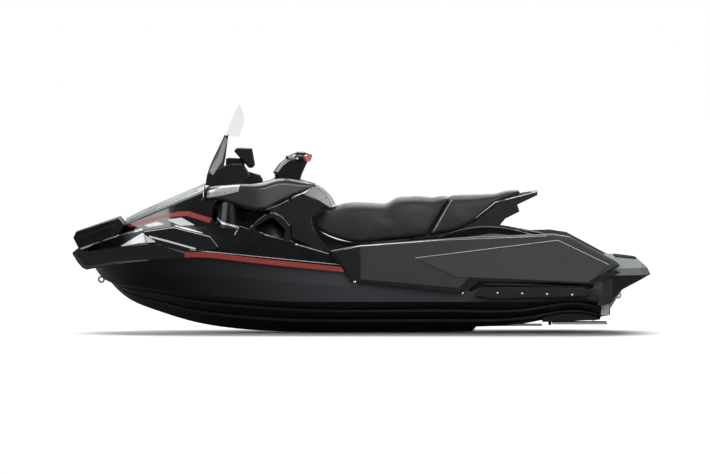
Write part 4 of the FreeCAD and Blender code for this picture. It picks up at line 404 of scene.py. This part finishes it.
def flank_strip(
    name, finish, upper, lower, tree, count=STRIP_STEPS, rows=3, lift=STRIP_LIFT, body="craft"
):
    """A thin strip between two lines of photograph pixels, laid on both flanks of the solids."""
    mesh = bmesh.new()
    bmesh.ops.create_grid(mesh, x_segments=count, y_segments=rows, size=1)
    for vertex in mesh.verts:
        share, across = (vertex.co.x + 1) / 2, (vertex.co.y + 1) / 2
        px, py = along(lower, share).lerp(along(upper, share), across)
        x, z = place(px, py)
        vertex.co = Vector((x, flank(tree, x, z) - lift, z))
    bmesh.ops.mirror(mesh, geom=mesh.verts[:] + mesh.edges[:] + mesh.faces[:], axis="Y", merge_dist=0.0)
    return piece(name, mesh, finish, body)


def flank_line(name, finish, points, tree, half_width, lift=STRIP_LIFT):
    """A narrow strip that follows a line of photograph pixels."""
    upper = [(px, py - half_width) for px, py in points]
    lower = [(px, py + half_width) for px, py in points]
    return flank_strip(name, finish, upper, lower, tree, count=LINE_STEPS, rows=1, lift=lift)


def lay_lines(tree, lines):
    """Lays a table of lines: finish, half width in pixels, pixels and, where it differs, lift."""
    for name, (finish, half_width, points, *lift) in lines.items():
        flank_line(name, finish, points, tree, half_width, *lift)


def lay_strips(tree, strips):
    """Lays a table of strips: finish, upper pixels and lower pixels."""
    for name, (finish, upper, lower) in strips.items():
        flank_strip(name, finish, upper, lower, tree)


def domed_heads(name, finish, pixels, tree, radius, rise):
    """Domed heads on both flanks at some photograph pixels."""
    mesh = bmesh.new()
    for px, py in pixels:
        x, z = place(px, py)
        y = flank(tree, x, z)
        for side in (1, -1):
            spot = Matrix.Translation((x, side * y, z)) @ Matrix.Diagonal((1, rise, 1, 1))
            bmesh.ops.create_uvsphere(mesh, u_segments=20, v_segments=10, radius=radius, matrix=spot)
    return piece(name, mesh, finish)


# Seat covers: each solid's skin is remeshed, blown up a little under pressure, capped and smoothed.
COVER_VOXEL = 0.008
COVER_SHRINK = 0.003
COVER_CAP = 0.003
MERGE_DISTANCE = 0.0002
PRESSURE = 4
PRESSURE_FRAMES = 20
SMOOTHING_PASSES = 12
SMOOTHING_FACTOR = 0.5
SLICE = 0.02
SLICE_REACH = 1.5
LEAST_HEIGHT_SHARE = 0.2
FRONT_SEAT_TOP = [
    (328, 209.6), (336, 205.8), (346, 203.6), (358, 203.0), (372, 203.4), (384, 203.6),
    (389, 202.4), (394, 199.6), (399, 197.8), (412, 196.6), (430, 196.4), (450, 196.4),
]
REAR_SEAT_TOP = [(452, 195.6), (464, 195.2), (480, 194.8), (495, 194.0), (505, 191.2), (522, 189.6)]


def bake_modifiers(made):
    """Applies a piece's modifiers to its mesh."""
    ready = made.evaluated_get(bpy.context.evaluated_depsgraph_get())
    data = bpy.data.meshes.new_from_object(ready)
    made.modifiers.clear()
    made.data = data


def extents(cover):
    """Lowest and highest place of a cover in each slice of its length."""
    slices = {}
    for vertex in cover.data.vertices:
        key = round(vertex.co.x / SLICE)
        low, high = slices.get(key, (vertex.co.z, vertex.co.z))
        slices[key] = min(low, vertex.co.z), max(high, vertex.co.z)
    return slices


def smooth_extent(slices, place_along, end):
    """A slice's lowest (0) or highest (1) place, blended with those of its neighbours."""
    total = weights = 0.0
    for key in range(math.floor(place_along) - 1, math.floor(place_along) + 3):
        weight = max(0.0, SLICE_REACH - abs(key - place_along))
        if key in slices:
            total += weight * slices[key][end]
            weights += weight
    return total / weights


def press_top(cover, top_line):
    """Brings the top of a cover to a line of photograph pixels, and leaves its underside."""
    line = [place(px, py) for px, py in top_line]
    slices = extents(cover)
    for vertex in cover.data.vertices:
        x, z = vertex.co.x, vertex.co.z
        low, high = (smooth_extent(slices, x / SLICE, end) for end in (0, 1))
        for (x0, z0), (x1, z1) in zip(line, line[1:]):
            if x0 <= x <= x1 and high - low > SLICE:
                wanted = z0 + (z1 - z0) * (x - x0) / (x1 - x0)
                vertex.co.z = low + (z - low) * max(LEAST_HEIGHT_SHARE, (wanted - low) / (high - low))


def remeshed_skin(name, solid_name):
    """A seat solid's skin, drawn in a little and given an even mesh."""
    skin = bmesh.new()
    skin.from_mesh(frame["nodes"][solid_name].data)
    bmesh.ops.remove_doubles(skin, verts=skin.verts, dist=MERGE_DISTANCE)
    for vertex in skin.verts:
        vertex.co -= vertex.normal * COVER_SHRINK
    cover = piece(name, skin, "seat_charcoal")
    remesh = cover.modifiers.new("remesh", "REMESH")
    remesh.mode, remesh.voxel_size = "VOXEL", COVER_VOXEL
    bake_modifiers(cover)
    return cover


def blow_up(cover):
    """Fills a cover by pressure from inside."""
    cloth = cover.modifiers.new("pressure", "CLOTH")
    cloth.settings.use_pressure = True
    cloth.settings.uniform_pressure_force = PRESSURE
    cloth.settings.effector_weights.gravity = 0
    cloth.point_cache.frame_end = PRESSURE_FRAMES
    for step in range(1, PRESSURE_FRAMES + 1):
        bpy.context.scene.frame_set(step)
    bake_modifiers(cover)
    bpy.context.scene.frame_set(1)


def cap_movement(cover, start):
    """Keeps each place of a cover near where it started."""
    for vertex, origin in zip(cover.data.vertices, start):
        move = vertex.co - origin
        if move.length > COVER_CAP:
            vertex.co = origin + move * (COVER_CAP / move.length)


def smooth_skin(cover):
    """Evens out a cover's mesh in all three directions."""
    skin = bmesh.new()
    skin.from_mesh(cover.data)
    for _ in range(SMOOTHING_PASSES):
        bmesh.ops.smooth_vert(
            skin, verts=skin.verts, factor=SMOOTHING_FACTOR, use_axis_x=True, use_axis_y=True, use_axis_z=True
        )
    skin.to_mesh(cover.data)
    skin.free()


def seat_cover(name, solid_name, top_line):
    """A padded cover in the place of a seat solid."""
    cover = remeshed_skin(name, solid_name)
    press_top(cover, top_line)
    start = [vertex.co.copy() for vertex in cover.data.vertices]
    blow_up(cover)
    cap_movement(cover, start)
    smooth_skin(cover)
    cover.data.shade_smooth()
    finer = cover.modifiers.new("finer", "SUBSURF")
    finer.levels = finer.render_levels = 1
    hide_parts(solid_name)
    return cover


front_cover = seat_cover("front_seat_cover", "seat_front", FRONT_SEAT_TOP)
rear_cover = seat_cover("rear_seat_cover", "seat_rear", REAR_SEAT_TOP)


# Dark forms that close gaps under the rear seat, behind the cowl, at the bow and beside the pump.
def side_solid(name, finish, outline, inner, outer, round_width=0.002):
    """A plate between two distances from the centreline, on both sides, from an outline of pixels."""
    mesh = bmesh.new()
    for side in (-1, 1):
        corners = [mesh.verts.new((x, side * inner, z)) for x, z in (place(px, py) for px, py in outline)]
        made = bmesh.ops.extrude_face_region(mesh, geom=[mesh.faces.new(corners)])["geom"]
        moved = [item for item in made if isinstance(item, bmesh.types.BMVert)]
        bmesh.ops.translate(mesh, verts=moved, vec=(0, side * (outer - inner), 0))
    bmesh.ops.bevel(
        mesh, geom=mesh.edges[:], offset=round_width, segments=2, affect="EDGES", profile=0.5, material=-1
    )
    return piece(name, mesh, finish, smooth=False)


SEAT_BASE_HALF_WIDTH = 0.15
SEAT_BASE_OUTLINE = [
    (408, 238.5), (426, 233.5), (437.5, 213.5), (447, 211.5),
    (464, 222.0), (476, 220.5), (478, 239), (440, 240.5),
]
COWL_LINING_HALF_WIDTH = 0.19
COWL_LINING_ROUND = 0.004
COWL_LINING_OUTLINE = [
    (204.4, 189.5), (207.5, 188.5), (212, 199.5), (240, 207),
    (251, 226), (216, 229), (208, 217), (203.5, 206),
]
BOW_CORE_HALF_WIDTH = 0.1
BOW_CORE_OUTLINE = [(78.5, 247), (86, 241), (118, 231), (124, 236), (98, 250), (82, 250.5)]
SKIRT_INNER, SKIRT_OUTER = 0.118, 0.13
SKIRT_OUTLINE = [(542, 309), (599.5, 309), (599.5, 319.2), (542, 321.5)]
side_solid("seat_base", "trim_black", SEAT_BASE_OUTLINE, 0.0, SEAT_BASE_HALF_WIDTH)
side_solid("cowl_lining", "gloss_black", COWL_LINING_OUTLINE, 0.0, COWL_LINING_HALF_WIDTH, COWL_LINING_ROUND)
side_solid("bow_core", "trim_black", BOW_CORE_OUTLINE, 0.0, BOW_CORE_HALF_WIDTH)
side_solid("tunnel_skirts", "hull_black", SKIRT_OUTLINE, SKIRT_INNER, SKIRT_OUTER)


# A strap on each side, under the rear seat.
def side_tube(name, finish, path, offset, radius):
    """A bent tube on both sides, through photograph pixels."""
    curve = bpy.data.curves.new(name + "_path", "CURVE")
    curve.dimensions = "3D"
    curve.bevel_depth, curve.bevel_resolution, curve.use_fill_caps = radius, 3, True
    for side in (-1, 1):
        line = curve.splines.new("NURBS")
        line.points.add(len(path) - 1)
        line.use_endpoint_u, line.order_u, line.resolution_u = True, 3, 6
        for point, (px, py) in zip(line.points, path):
            x, z = place(px, py)
            point.co = (x, side * offset, z, 1)
    return piece(name, curve_mesh(curve), finish)


STRAP_OFFSET = 0.2
STRAP_RADIUS = 0.0055
STRAP_PATH = [(438, 237), (452, 231.5), (470, 227.2), (484, 225.8), (502, 227.0), (520, 230.5), (532, 234.5)]
side_tube("tow_straps", "gloss_black", STRAP_PATH, STRAP_OFFSET, STRAP_RADIUS)

# Cowl and deck: the red stripe, then painted highlights, light lines where light catches the gunwale and the
# top of the rub rail.
COWL_STRIPES = {
    "cowl_stripe": (
        "stripe_red",
        [(127, 224.0), (145.8, 218.6), (179.1, 210.4), (189.1, 209.9), (212.5, 216.9)],
        [(131, 226.5), (146.5, 221.6), (168, 215.6), (188, 214.6), (210.5, 221.6)],
    ),
}
DECK_LINES = {
    "gunwale_highlight": (
        "silver_trim", 0.35, [(240, 225.3), (262, 231.8), (296, 241.8), (329, 251.4)], PROUD_LIFT,
    ),
    "rub_rail_highlight": ("silver_trim", 0.3, [(191, 247.6), (240, 252.2), (342, 262.2)]),
}
lay_strips(surface_of("front_cowl", "storage_lid", "bow_bumper"), COWL_STRIPES)
lay_lines(surface_of("deck", "rub_rails", "bow_rail", "bow_wings"), DECK_LINES)

# Side panels: bolts and clips; the inset's outline, with a painted highlight on its upper edges and painted
# shade in its recess along its lower edges; painted highlights along the panel's top edge and the trim lines
# below, and a dark strip on the panel's front.
PANEL_BOLT_RADIUS, SPONSON_BOLT_RADIUS, CLIP_RADIUS = 0.009, 0.007, 0.014
BOLT_RISE, CLIP_RISE = 0.35, 0.3
PANEL_BOLTS = [(354.7, 279.2), (461.4, 290.6)]
SPONSON_BOLTS = [(496, 290), (520.5, 290.6), (545, 291.2), (570, 292)]
PANEL_CLIPS = [(514.9, 280.5), (570, 283)]
PANEL_FRONT_UPPER = [(332.6, 249.6), (346, 246.8), (360.3, 244.0)]
PANEL_FRONT_LOWER = [(350.6, 277.4), (356, 277.8), (360.5, 278.3)]
PANEL_LINES = {
    "inset_edge_highlight": ("silver_trim", 0.28, [(414.9, 255.2), (556.0, 237.6), (606.4, 261.9)]),
    "inset_shadow": (
        "trim_black", 0.3, [(606.0, 263.2), (587.2, 280.2), (471.5, 275.7), (456.0, 274.8), (414.6, 256.2)],
    ),
    "panel_top_highlight": ("silver_trim", 0.16, [(344, 247.0), (360, 243.4), (440, 237.6), (545, 233.4)]),
    "trim_highlight": ("panel_grey", 0.35, [(356, 280.2), (400, 284.6), (460, 289.4)]),
    "trim_highlight_aft": ("panel_grey", 0.25, [(478, 279.4), (530, 280.6), (588, 282.4)]),
}
# Painted shade: a black strip under the panel's lower edge, where the hull lies in its shadow.
PANEL_FEET = {
    "panel_foot_shade": (
        "trim_black",
        [(467.5, 286.0), (477.5, 278.4), (530, 279.4), (592, 281.8)],
        [(468.5, 289.0), (480.5, 284.2), (530, 284.8), (590, 286.2)],
    ),
}
# A painted highlight: a pale line where light catches the hull's side.
HULL_LINES = {
    "hull_highlight": ("panel_grey", 0.25, [(168, 271.0), (200, 271.4), (226, 273.0)]),
}
panel_solids = ("side_panels", "side_insets", "side_trims", "sponsons")
panel_skin = surface_of(*panel_solids)
domed_heads("panel_bolts", "steel", PANEL_BOLTS, panel_skin, PANEL_BOLT_RADIUS, BOLT_RISE)
domed_heads("sponson_bolts", "steel", SPONSON_BOLTS, panel_skin, SPONSON_BOLT_RADIUS, BOLT_RISE)
domed_heads("panel_clips", "silver_trim", PANEL_CLIPS, panel_skin, CLIP_RADIUS, CLIP_RISE)
lay_lines(panel_skin, PANEL_LINES)
flank_strip("panel_front", "trim_black", PANEL_FRONT_UPPER, PANEL_FRONT_LOWER, panel_skin, rows=8)
lay_strips(surface_of(*panel_solids, "hull"), PANEL_FEET)
lay_lines(surface_of("hull"), HULL_LINES)

# Bow: painted highlights, pale edge lines and patches where light catches the moulded wings and the bow rail.
BOW_LINES = {
    "wing_edge_highlight": ("gloss_white", 0.5, [(145.8, 230.2), (174.7, 225.8), (211.3, 234.7), (219.1, 244.7)]),
    "wing_foot_highlight": ("gloss_white", 0.9, [(150.6, 234.6), (170, 239.4), (197, 246.6)], PROUD_LIFT),
    "lid_line": ("panel_grey", 0.35, [(130, 219.4), (160, 205.6), (199, 189.2)]),
    "bumper_line": ("panel_grey", 0.3, [(80, 236.5), (100, 229.0), (118, 222.4)]),
}
# Painted highlights: pale patches where light catches the wings, the cowl and the top of the bow rail.
BOW_PATCHES = {
    "bow_flash_highlight": (
        "gloss_white",
        [(122.4, 244.2), (143.6, 231.3), (156.5, 239.2)],
        [(122.6, 245.2), (140.0, 241.5), (156.9, 240.2)],
    ),
    "bow_rail_highlight": (
        "silver_trim",
        [(80.5, 247.2), (114.7, 235.0), (143.0, 227.2)],
        [(81.0, 248.8), (114.9, 236.8), (143.6, 228.8)],
    ),
    "bow_highlight_front": (
        "gloss_white",
        [(145.2, 224.2), (158, 220.6), (164.6, 222.4)],
        [(149.0, 225.8), (157, 224.6), (165.0, 223.0)],
    ),
    "bow_highlight_rear": (
        "gloss_white",
        [(168.4, 218.3), (182.4, 216.4), (194.8, 223.0)],
        [(172.2, 220.8), (181.2, 224.4), (195.2, 223.8)],
    ),
    "bow_highlight_aft": (
        "gloss_white",
        [(173.0, 223.2), (190, 226.4), (203, 230.4)],
        [(176.0, 224.6), (190, 228.2), (204, 231.4)],
    ),
}
RAIL_LIP_UPPER = [(75.0, 252.0), (86.6, 265.4), (118, 259.8), (150, 257.6)]
RAIL_LIP_LOWER = [(74.0, 254.2), (86.2, 267.6), (118, 262.0), (150, 258.6)]
bow_skin = surface_of("bow_rail", "bow_wings", "bow_bumper", "deck", "front_cowl", "storage_lid")
lay_lines(bow_skin, BOW_LINES)
lay_strips(bow_skin, BOW_PATCHES)
rail_skin = surface_of("bow_rail")
flank_strip("rail_lip", "inset_grey", RAIL_LIP_UPPER, RAIL_LIP_LOWER, rail_skin)


# Aft platform: a foam mat with rounded corners.
def plan_height(tree, x, y):
    """The top of some solids at a place in plan."""
    return tree.ray_cast(Vector((x, y, BEYOND)), Vector((0, 0, -1)))[0].z


def foam_mat(name, corners, tree, thickness, corner_radius, clearance):
    """A mat laid on the top of some solids."""
    mesh = bmesh.new()
    verts = [mesh.verts.new((x, y, 0)) for x, y in corners]
    mesh.faces.new(verts)
    bmesh.ops.bevel(
        mesh, geom=verts, offset=corner_radius, segments=5, affect="VERTICES", profile=0.5, material=-1
    )
    bmesh.ops.triangulate(mesh, faces=mesh.faces[:])
    bmesh.ops.subdivide_edges(mesh, edges=mesh.edges[:], cuts=2, use_grid_fill=True)
    for vertex in mesh.verts:
        vertex.co.z = plan_height(tree, vertex.co.x, vertex.co.y) + clearance
    thicken(piece(name, mesh, "mat_black", smooth=False), thickness)


MAT_THICKNESS = 0.006
MAT_CORNER_RADIUS = 0.03
MAT_CLEARANCE = 0.0005
MAT_FRONT_PIXEL = 614
MAT_MARGIN = 0.085
MAT_HALF = 0.3
MAT_CHAMFER_LENGTH, MAT_CHAMFER_WIDTH = 0.06, 0.08
mat_front = place(MAT_FRONT_PIXEL, 0)[0]
mat_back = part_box("aft_deck")[1].x - MAT_MARGIN
mat_side_end, mat_back_half = mat_back - MAT_CHAMFER_LENGTH, MAT_HALF - MAT_CHAMFER_WIDTH
mat_corners = [
    (mat_front, -MAT_HALF), (mat_side_end, -MAT_HALF), (mat_back, -mat_back_half),
    (mat_back, mat_back_half), (mat_side_end, MAT_HALF), (mat_front, MAT_HALF),
]
platform_skin = surface_of("aft_deck", "deck")
foam_mat("platform_mat", mat_corners, platform_skin, MAT_THICKNESS, MAT_CORNER_RADIUS, MAT_CLEARANCE)

# Display: a dark screen with plain bar marks on its aft face.
SCREEN_LEAN = math.radians(9.6)
SCREEN_WIDTH, SCREEN_HEIGHT = 0.168, 0.078
SCREEN_INSET, SCREEN_RAISE = 0.0095, 0.003
SCREEN_CORNER, SCREEN_LIFT = 0.008, 0.0008
PLATE_THICKNESS = 0.0012
BAR_COUNT = 6
BAR_WIDTH, BAR_PITCH, BAR_START = 0.006, 0.0125, -0.05
BAR_HEIGHT, BAR_GROWTH, BAR_FOOT = 0.008, 0.004, -0.012
BAR_CORNER, BAR_LIFT = 0.0015, 0.0021
display_low, display_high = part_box("display")
screen_height = (display_low.z + display_high.z) / 2 + SCREEN_RAISE
screen_centre = Vector((display_high.x - SCREEN_INSET, 0, screen_height))


def on_screen(across, up, lift):
    """Turns a flat plate in X and Y into a place on the display's aft face."""
    facing = Matrix(((0, 0, 1), (1, 0, 0), (0, 1, 0))).to_4x4()
    shift = Matrix.Translation((across, up, lift))
    return Matrix.Translation(screen_centre) @ Matrix.Rotation(-SCREEN_LEAN, 4, "Y") @ facing @ shift


def screen_plates(name, finish, rows, corner, lift):
    """Thin plates with rounded corners, each given by its width, height and place on the screen."""
    mesh = bmesh.new()
    for width, height, across, up in rows:
        made = bmesh.ops.create_grid(mesh, x_segments=1, y_segments=1, size=0.5)["verts"]
        bmesh.ops.transform(mesh, matrix=Matrix.Diagonal((width, height, 1, 1)), verts=made)
        rounded = bmesh.ops.bevel(
            mesh, geom=made, offset=corner, segments=4, affect="VERTICES", profile=0.5, material=-1
        )["verts"]
        bmesh.ops.transform(mesh, matrix=on_screen(across, up, lift), verts=list(set(rounded)))
    thicken(piece(name, mesh, finish, smooth=False), PLATE_THICKNESS)


def bar(step):
    """Width, height and place of one bar mark, each taller than the one before."""
    height, up = BAR_HEIGHT + BAR_GROWTH * step, BAR_FOOT + BAR_GROWTH / 2 * step
    return BAR_WIDTH, height, BAR_START + BAR_PITCH * step, up


screen_plate = (SCREEN_WIDTH, SCREEN_HEIGHT, 0, 0)
display_bars = [bar(step) for step in range(BAR_COUNT)]
screen_plates("display_screen", "screen_dark", [screen_plate], SCREEN_CORNER, SCREEN_LIFT)
screen_plates("display_bars", "silver_trim", display_bars, BAR_CORNER, BAR_LIFT)

# Seams: sewn ones where a plane meets a seat cover, and a pale piping between the covers.
SEAM_RADIUS = 0.0011
SHORTEST_LOOP = 12
TOP_SEAM_OFFSET = 0.142
BOLSTER_SEAM_PIXELS = [(372, 226), (396, 199)]
PIPING_HALF_WIDTH = 0.5
PIPING_PATH = [(432.9, 231.6), (442, 215.6), (451.4, 199.6)]


def ordered_loops(section):
    """Closed chains of the places that a cut leaves, in order."""
    left, loops = set(section.verts), []
    while left:
        following, chain = left.pop(), []
        while following:
            left.discard(following)
            chain.append(following.co.copy())
            neighbours = [edge.other_vert(following) for edge in following.link_edges]
            following = next((vertex for vertex in neighbours if vertex in left), None)
        if len(chain) > SHORTEST_LOOP:
            loops.append(chain)
    return loops


def seam_cord(name, cover, on_plane, normal):
    """A sewn cord where a plane meets a cover."""
    section = bmesh.new()
    section.from_mesh(cover.data)
    everything = section.verts[:] + section.edges[:] + section.faces[:]
    bmesh.ops.bisect_plane(
        section, geom=everything, plane_co=on_plane, plane_no=normal, clear_inner=True, clear_outer=True
    )
    curve = bpy.data.curves.new(name + "_path", "CURVE")
    curve.dimensions = "3D"
    curve.bevel_depth, curve.bevel_resolution = SEAM_RADIUS, 2
    for loop in ordered_loops(section):
        line = curve.splines.new("POLY")
        line.points.add(len(loop) - 1)
        line.use_cyclic_u = True
        for point, spot in zip(line.points, loop):
            point.co = (*spot, 1)
    section.free()
    return piece(name, curve_mesh(curve), "seat_thread")


flank_line("seat_piping", "silver_trim", PIPING_PATH, surface_over(rear_cover.data), PIPING_HALF_WIDTH)
(foot_x, foot_z), (head_x, head_z) = (place(px, py) for px, py in BOLSTER_SEAM_PIXELS)
seam_run = Vector((head_x - foot_x, 0, head_z - foot_z)).normalized()
seam_normal = Vector((seam_run.z, 0, -seam_run.x))
seam_cord("bolster_seam", front_cover, Vector((foot_x, 0, foot_z)), seam_normal)
for side, hand in ((-1, "port"), (1, "starboard")):
    for cover, part in ((front_cover, "front"), (rear_cover, "rear")):
        on_plane = Vector((0, side * TOP_SEAM_OFFSET, 0))
        seam_cord(f"{part}_top_seam_{hand}", cover, on_plane, Vector((0, 1, 0)))

# Console: painted highlights along its lower edge, on the scoop's rim and on its nose, a light line on the
# scoop's front rim, and a painted highlight on the deck's edge behind the cowl.
CONSOLE_LINES = {
    "console_edge_highlight": (
        "silver_trim", 0.22,
        [(236.7, 204.6), (253, 209.6), (264, 209.6), (278, 204.6), (294, 196.4), (313, 186.4)],
    ),
    "scoop_rim": ("gloss_white", 0.6, [(270, 211.6), (275, 212.0), (282, 215.8), (290.4, 224.8)], RIM_LIFT),
    "scoop_rim_front": ("silver_trim", 0.3, [(251, 226), (258, 219.6), (266.5, 213.4)]),
}
DECK_EDGE_HIGHLIGHTS = {
    "deck_edge_highlight": ("silver_trim", 1.0, [(217.8, 217), (222.6, 221.8), (239.6, 226.2), (235.6, 232.4)]),
}
CONSOLE_NOSE_UPPER = [(208, 190.4), (222, 185.4), (240, 184.2)]
CONSOLE_NOSE_LOWER = [(207, 196.8), (222, 194.6), (239, 190.6)]
nose_skin = surface_of("console_cover")
lay_lines(
    surface_of("console_cover", "knee_panels", "footwell_scoops", "windscreen_base", "deck"), CONSOLE_LINES
)
lay_lines(surface_of("deck"), DECK_EDGE_HIGHLIGHTS)
flank_strip("console_nose_highlight", "silver_trim", CONSOLE_NOSE_UPPER, CONSOLE_NOSE_LOWER, nose_skin, rows=6)

# A painted highlight along the windscreen's frame, and the band that turns with the steering cover.
FRAME_EDGE_UPPER = [(209.4, 171.0), (215.6, 158.0), (225.0, 137.0)]
FRAME_EDGE_LOWER = [(213.4, 174.6), (222.6, 160.6), (228.0, 138.4)]
COVER_BAND_UPPER = [(275.4, 171.0), (281.0, 163.0), (287.6, 157.8), (300.0, 154.2)]
COVER_BAND_LOWER = [(277.6, 172.2), (283.4, 165.2), (289.6, 160.6), (301.0, 157.4)]
frame_skin = surface_of("windscreen_frame", "windscreen_base")
cover_skin = surface_of("steering_cover")
flank_strip(
    "frame_highlight", "frame_grey", FRAME_EDGE_UPPER, FRAME_EDGE_LOWER, frame_skin, rows=4
)
flank_strip("cover_band", "silver_trim", COVER_BAND_UPPER, COVER_BAND_LOWER, cover_skin, body="steering")

# A rubber boot closes the space between the console and the steering cover.
BOOT_STEPS = 48
# Radius and height of its folds, about the steering's axis.
BOOT_RINGS = [
    (0.06, -0.075), (0.066, -0.03), (0.076, -0.022), (0.067, -0.012),
    (0.078, -0.002), (0.072, 0.012), (0.03, 0.012),
]
joints = {joint["name"]: joint for joint in frame["record"]["behaviour"]["joints"]}
turn_axis, turn_centre = (Vector(joints["steering_turn"][key]) for key in ("axis", "pos_m"))
lean = Vector((0, 0, 1)).rotation_difference(turn_axis).to_matrix().to_4x4()
boot = bmesh.new()
ring = [boot.verts.new((radius, 0, height)) for radius, height in BOOT_RINGS]
rim = [boot.edges.new(pair) for pair in zip(ring, ring[1:])]
bmesh.ops.spin(
    boot, geom=ring + rim, cent=(0, 0, 0), axis=(0, 0, 1), angle=2 * math.pi, steps=BOOT_STEPS, use_merge=True
)
bmesh.ops.transform(boot, matrix=Matrix.Translation(turn_centre) @ lean, verts=boot.verts)
piece("steering_boot", boot, "trim_black")

# Grab rail: a silver cap along its upper edge.
RAIL_LINES = {
    "grab_rail_cap": ("silver_trim", 0.45, [(475.4, 217.2), (495.0, 201.6), (538.0, 190.6)]),
}
lay_lines(surface_of("grab_rail", "seat_rear"), RAIL_LINES)

# Studio floor, just under the keel: pale to the camera, darker to the light that it throws back.
FLOOR_SIZE = 200
FLOOR_GAP = 0.002
FLOOR_SEEN, FLOOR_THROWN = (0.72, 0.72, 0.72), (0.10, 0.10, 0.10)
bpy.ops.mesh.primitive_plane_add(size=FLOOR_SIZE, location=(0, 0, KEEL - FLOOR_GAP))
floor = bpy.context.object
floor.name = "studio_floor"
floor_material, floor_shader = new_material("studio_floor", FLOOR_SEEN, roughness=0.9, specular=0.1)
floor_ray = node(floor_material, "ShaderNodeLightPath").outputs["Is Camera Ray"]
floor_shade = ramp(floor_material, floor_ray, FLOOR_THROWN, FLOOR_SEEN, start=0.0, end=1.0)
link(floor_material, floor_shade, floor_shader.inputs["Base Color"])
floor.data.materials.append(floor_material)

# White paper behind the craft, and a dim room for its gloss to reflect.
ROOM_LIGHT = 0.10
world = bpy.data.worlds.new("studio")
bpy.context.scene.world = world
world.use_nodes = True
backdrop = world.node_tree.nodes["Background"]
backdrop.inputs["Color"].default_value = (1, 1, 1, 1)
strength = node(world, "ShaderNodeMath", operation="MAXIMUM")
strength.inputs[1].default_value = ROOM_LIGHT
link(world, node(world, "ShaderNodeLightPath").outputs["Is Camera Ray"], strength.inputs[0])
link(world, strength.outputs["Value"], backdrop.inputs["Strength"])
bpy.context.scene.view_settings.view_transform = "Standard"

# A broad light overhead and three soft boxes: place, target, width, height and power in watts.
SKY_ENERGY = 4.4
SKY_SPREAD = math.radians(60)
SKY_TILT = math.radians(-14)
SOFTBOXES = {
    "front_left": ((-4.5, -4.0, 3.0), (0, 0, 0.2), 4.0, 3.0, 155),
    "front_right": ((3.0, -5.5, 2.0), (0.4, 0, 0.2), 6.0, 3.0, 215),
    "rim": ((0, 5.0, 3.0), (0, 0, 0.4), 5.0, 1.5, 160),
}


def softbox(name, location, target, width, height, power):
    """A rectangle of light that faces a target."""
    light = bpy.data.lights.new(name, "AREA")
    light.shape = "RECTANGLE"
    light.size, light.size_y = width, height
    light.energy = power
    lamp = bpy.data.objects.new(name, light)
    lamp.location = location
    lamp.rotation_euler = (Vector(target) - Vector(location)).to_track_quat("-Z", "Y").to_euler()
    bpy.context.collection.objects.link(lamp)


sky = bpy.data.lights.new("sky", "SUN")
sky.energy, sky.angle = SKY_ENERGY, SKY_SPREAD
sky_lamp = bpy.data.objects.new("sky", sky)
sky_lamp.rotation_euler = (SKY_TILT, 0, 0)
bpy.context.collection.objects.link(sky_lamp)
for name, values in SOFTBOXES.items():
    softbox(name, *values)

# The camera stands far off, because the photograph's outline is nearly parallel.
CAMERA_DISTANCE = 60.0
CAMERA_RISE = math.radians(1.5)
VIEW_PIXEL = (355, 237)
SENSOR = 36.0
aim_x, aim_z = place(*VIEW_PIXEL)
aim = Vector((aim_x, 0, aim_z))
camera_data = bpy.data.cameras.new("photo_camera")
camera_data.sensor_width = SENSOR
camera_data.lens = SENSOR * CAMERA_DISTANCE / (PHOTO_WIDTH * METRES_A_PIXEL)
camera = bpy.data.objects.new("photo_camera", camera_data)
camera.location = aim + CAMERA_DISTANCE * Vector((0, -math.cos(CAMERA_RISE), math.sin(CAMERA_RISE)))
camera.rotation_euler = (aim - camera.location).to_track_quat("-Z", "Y").to_euler()
bpy.context.collection.objects.link(camera)
bpy.context.scene.camera = camera
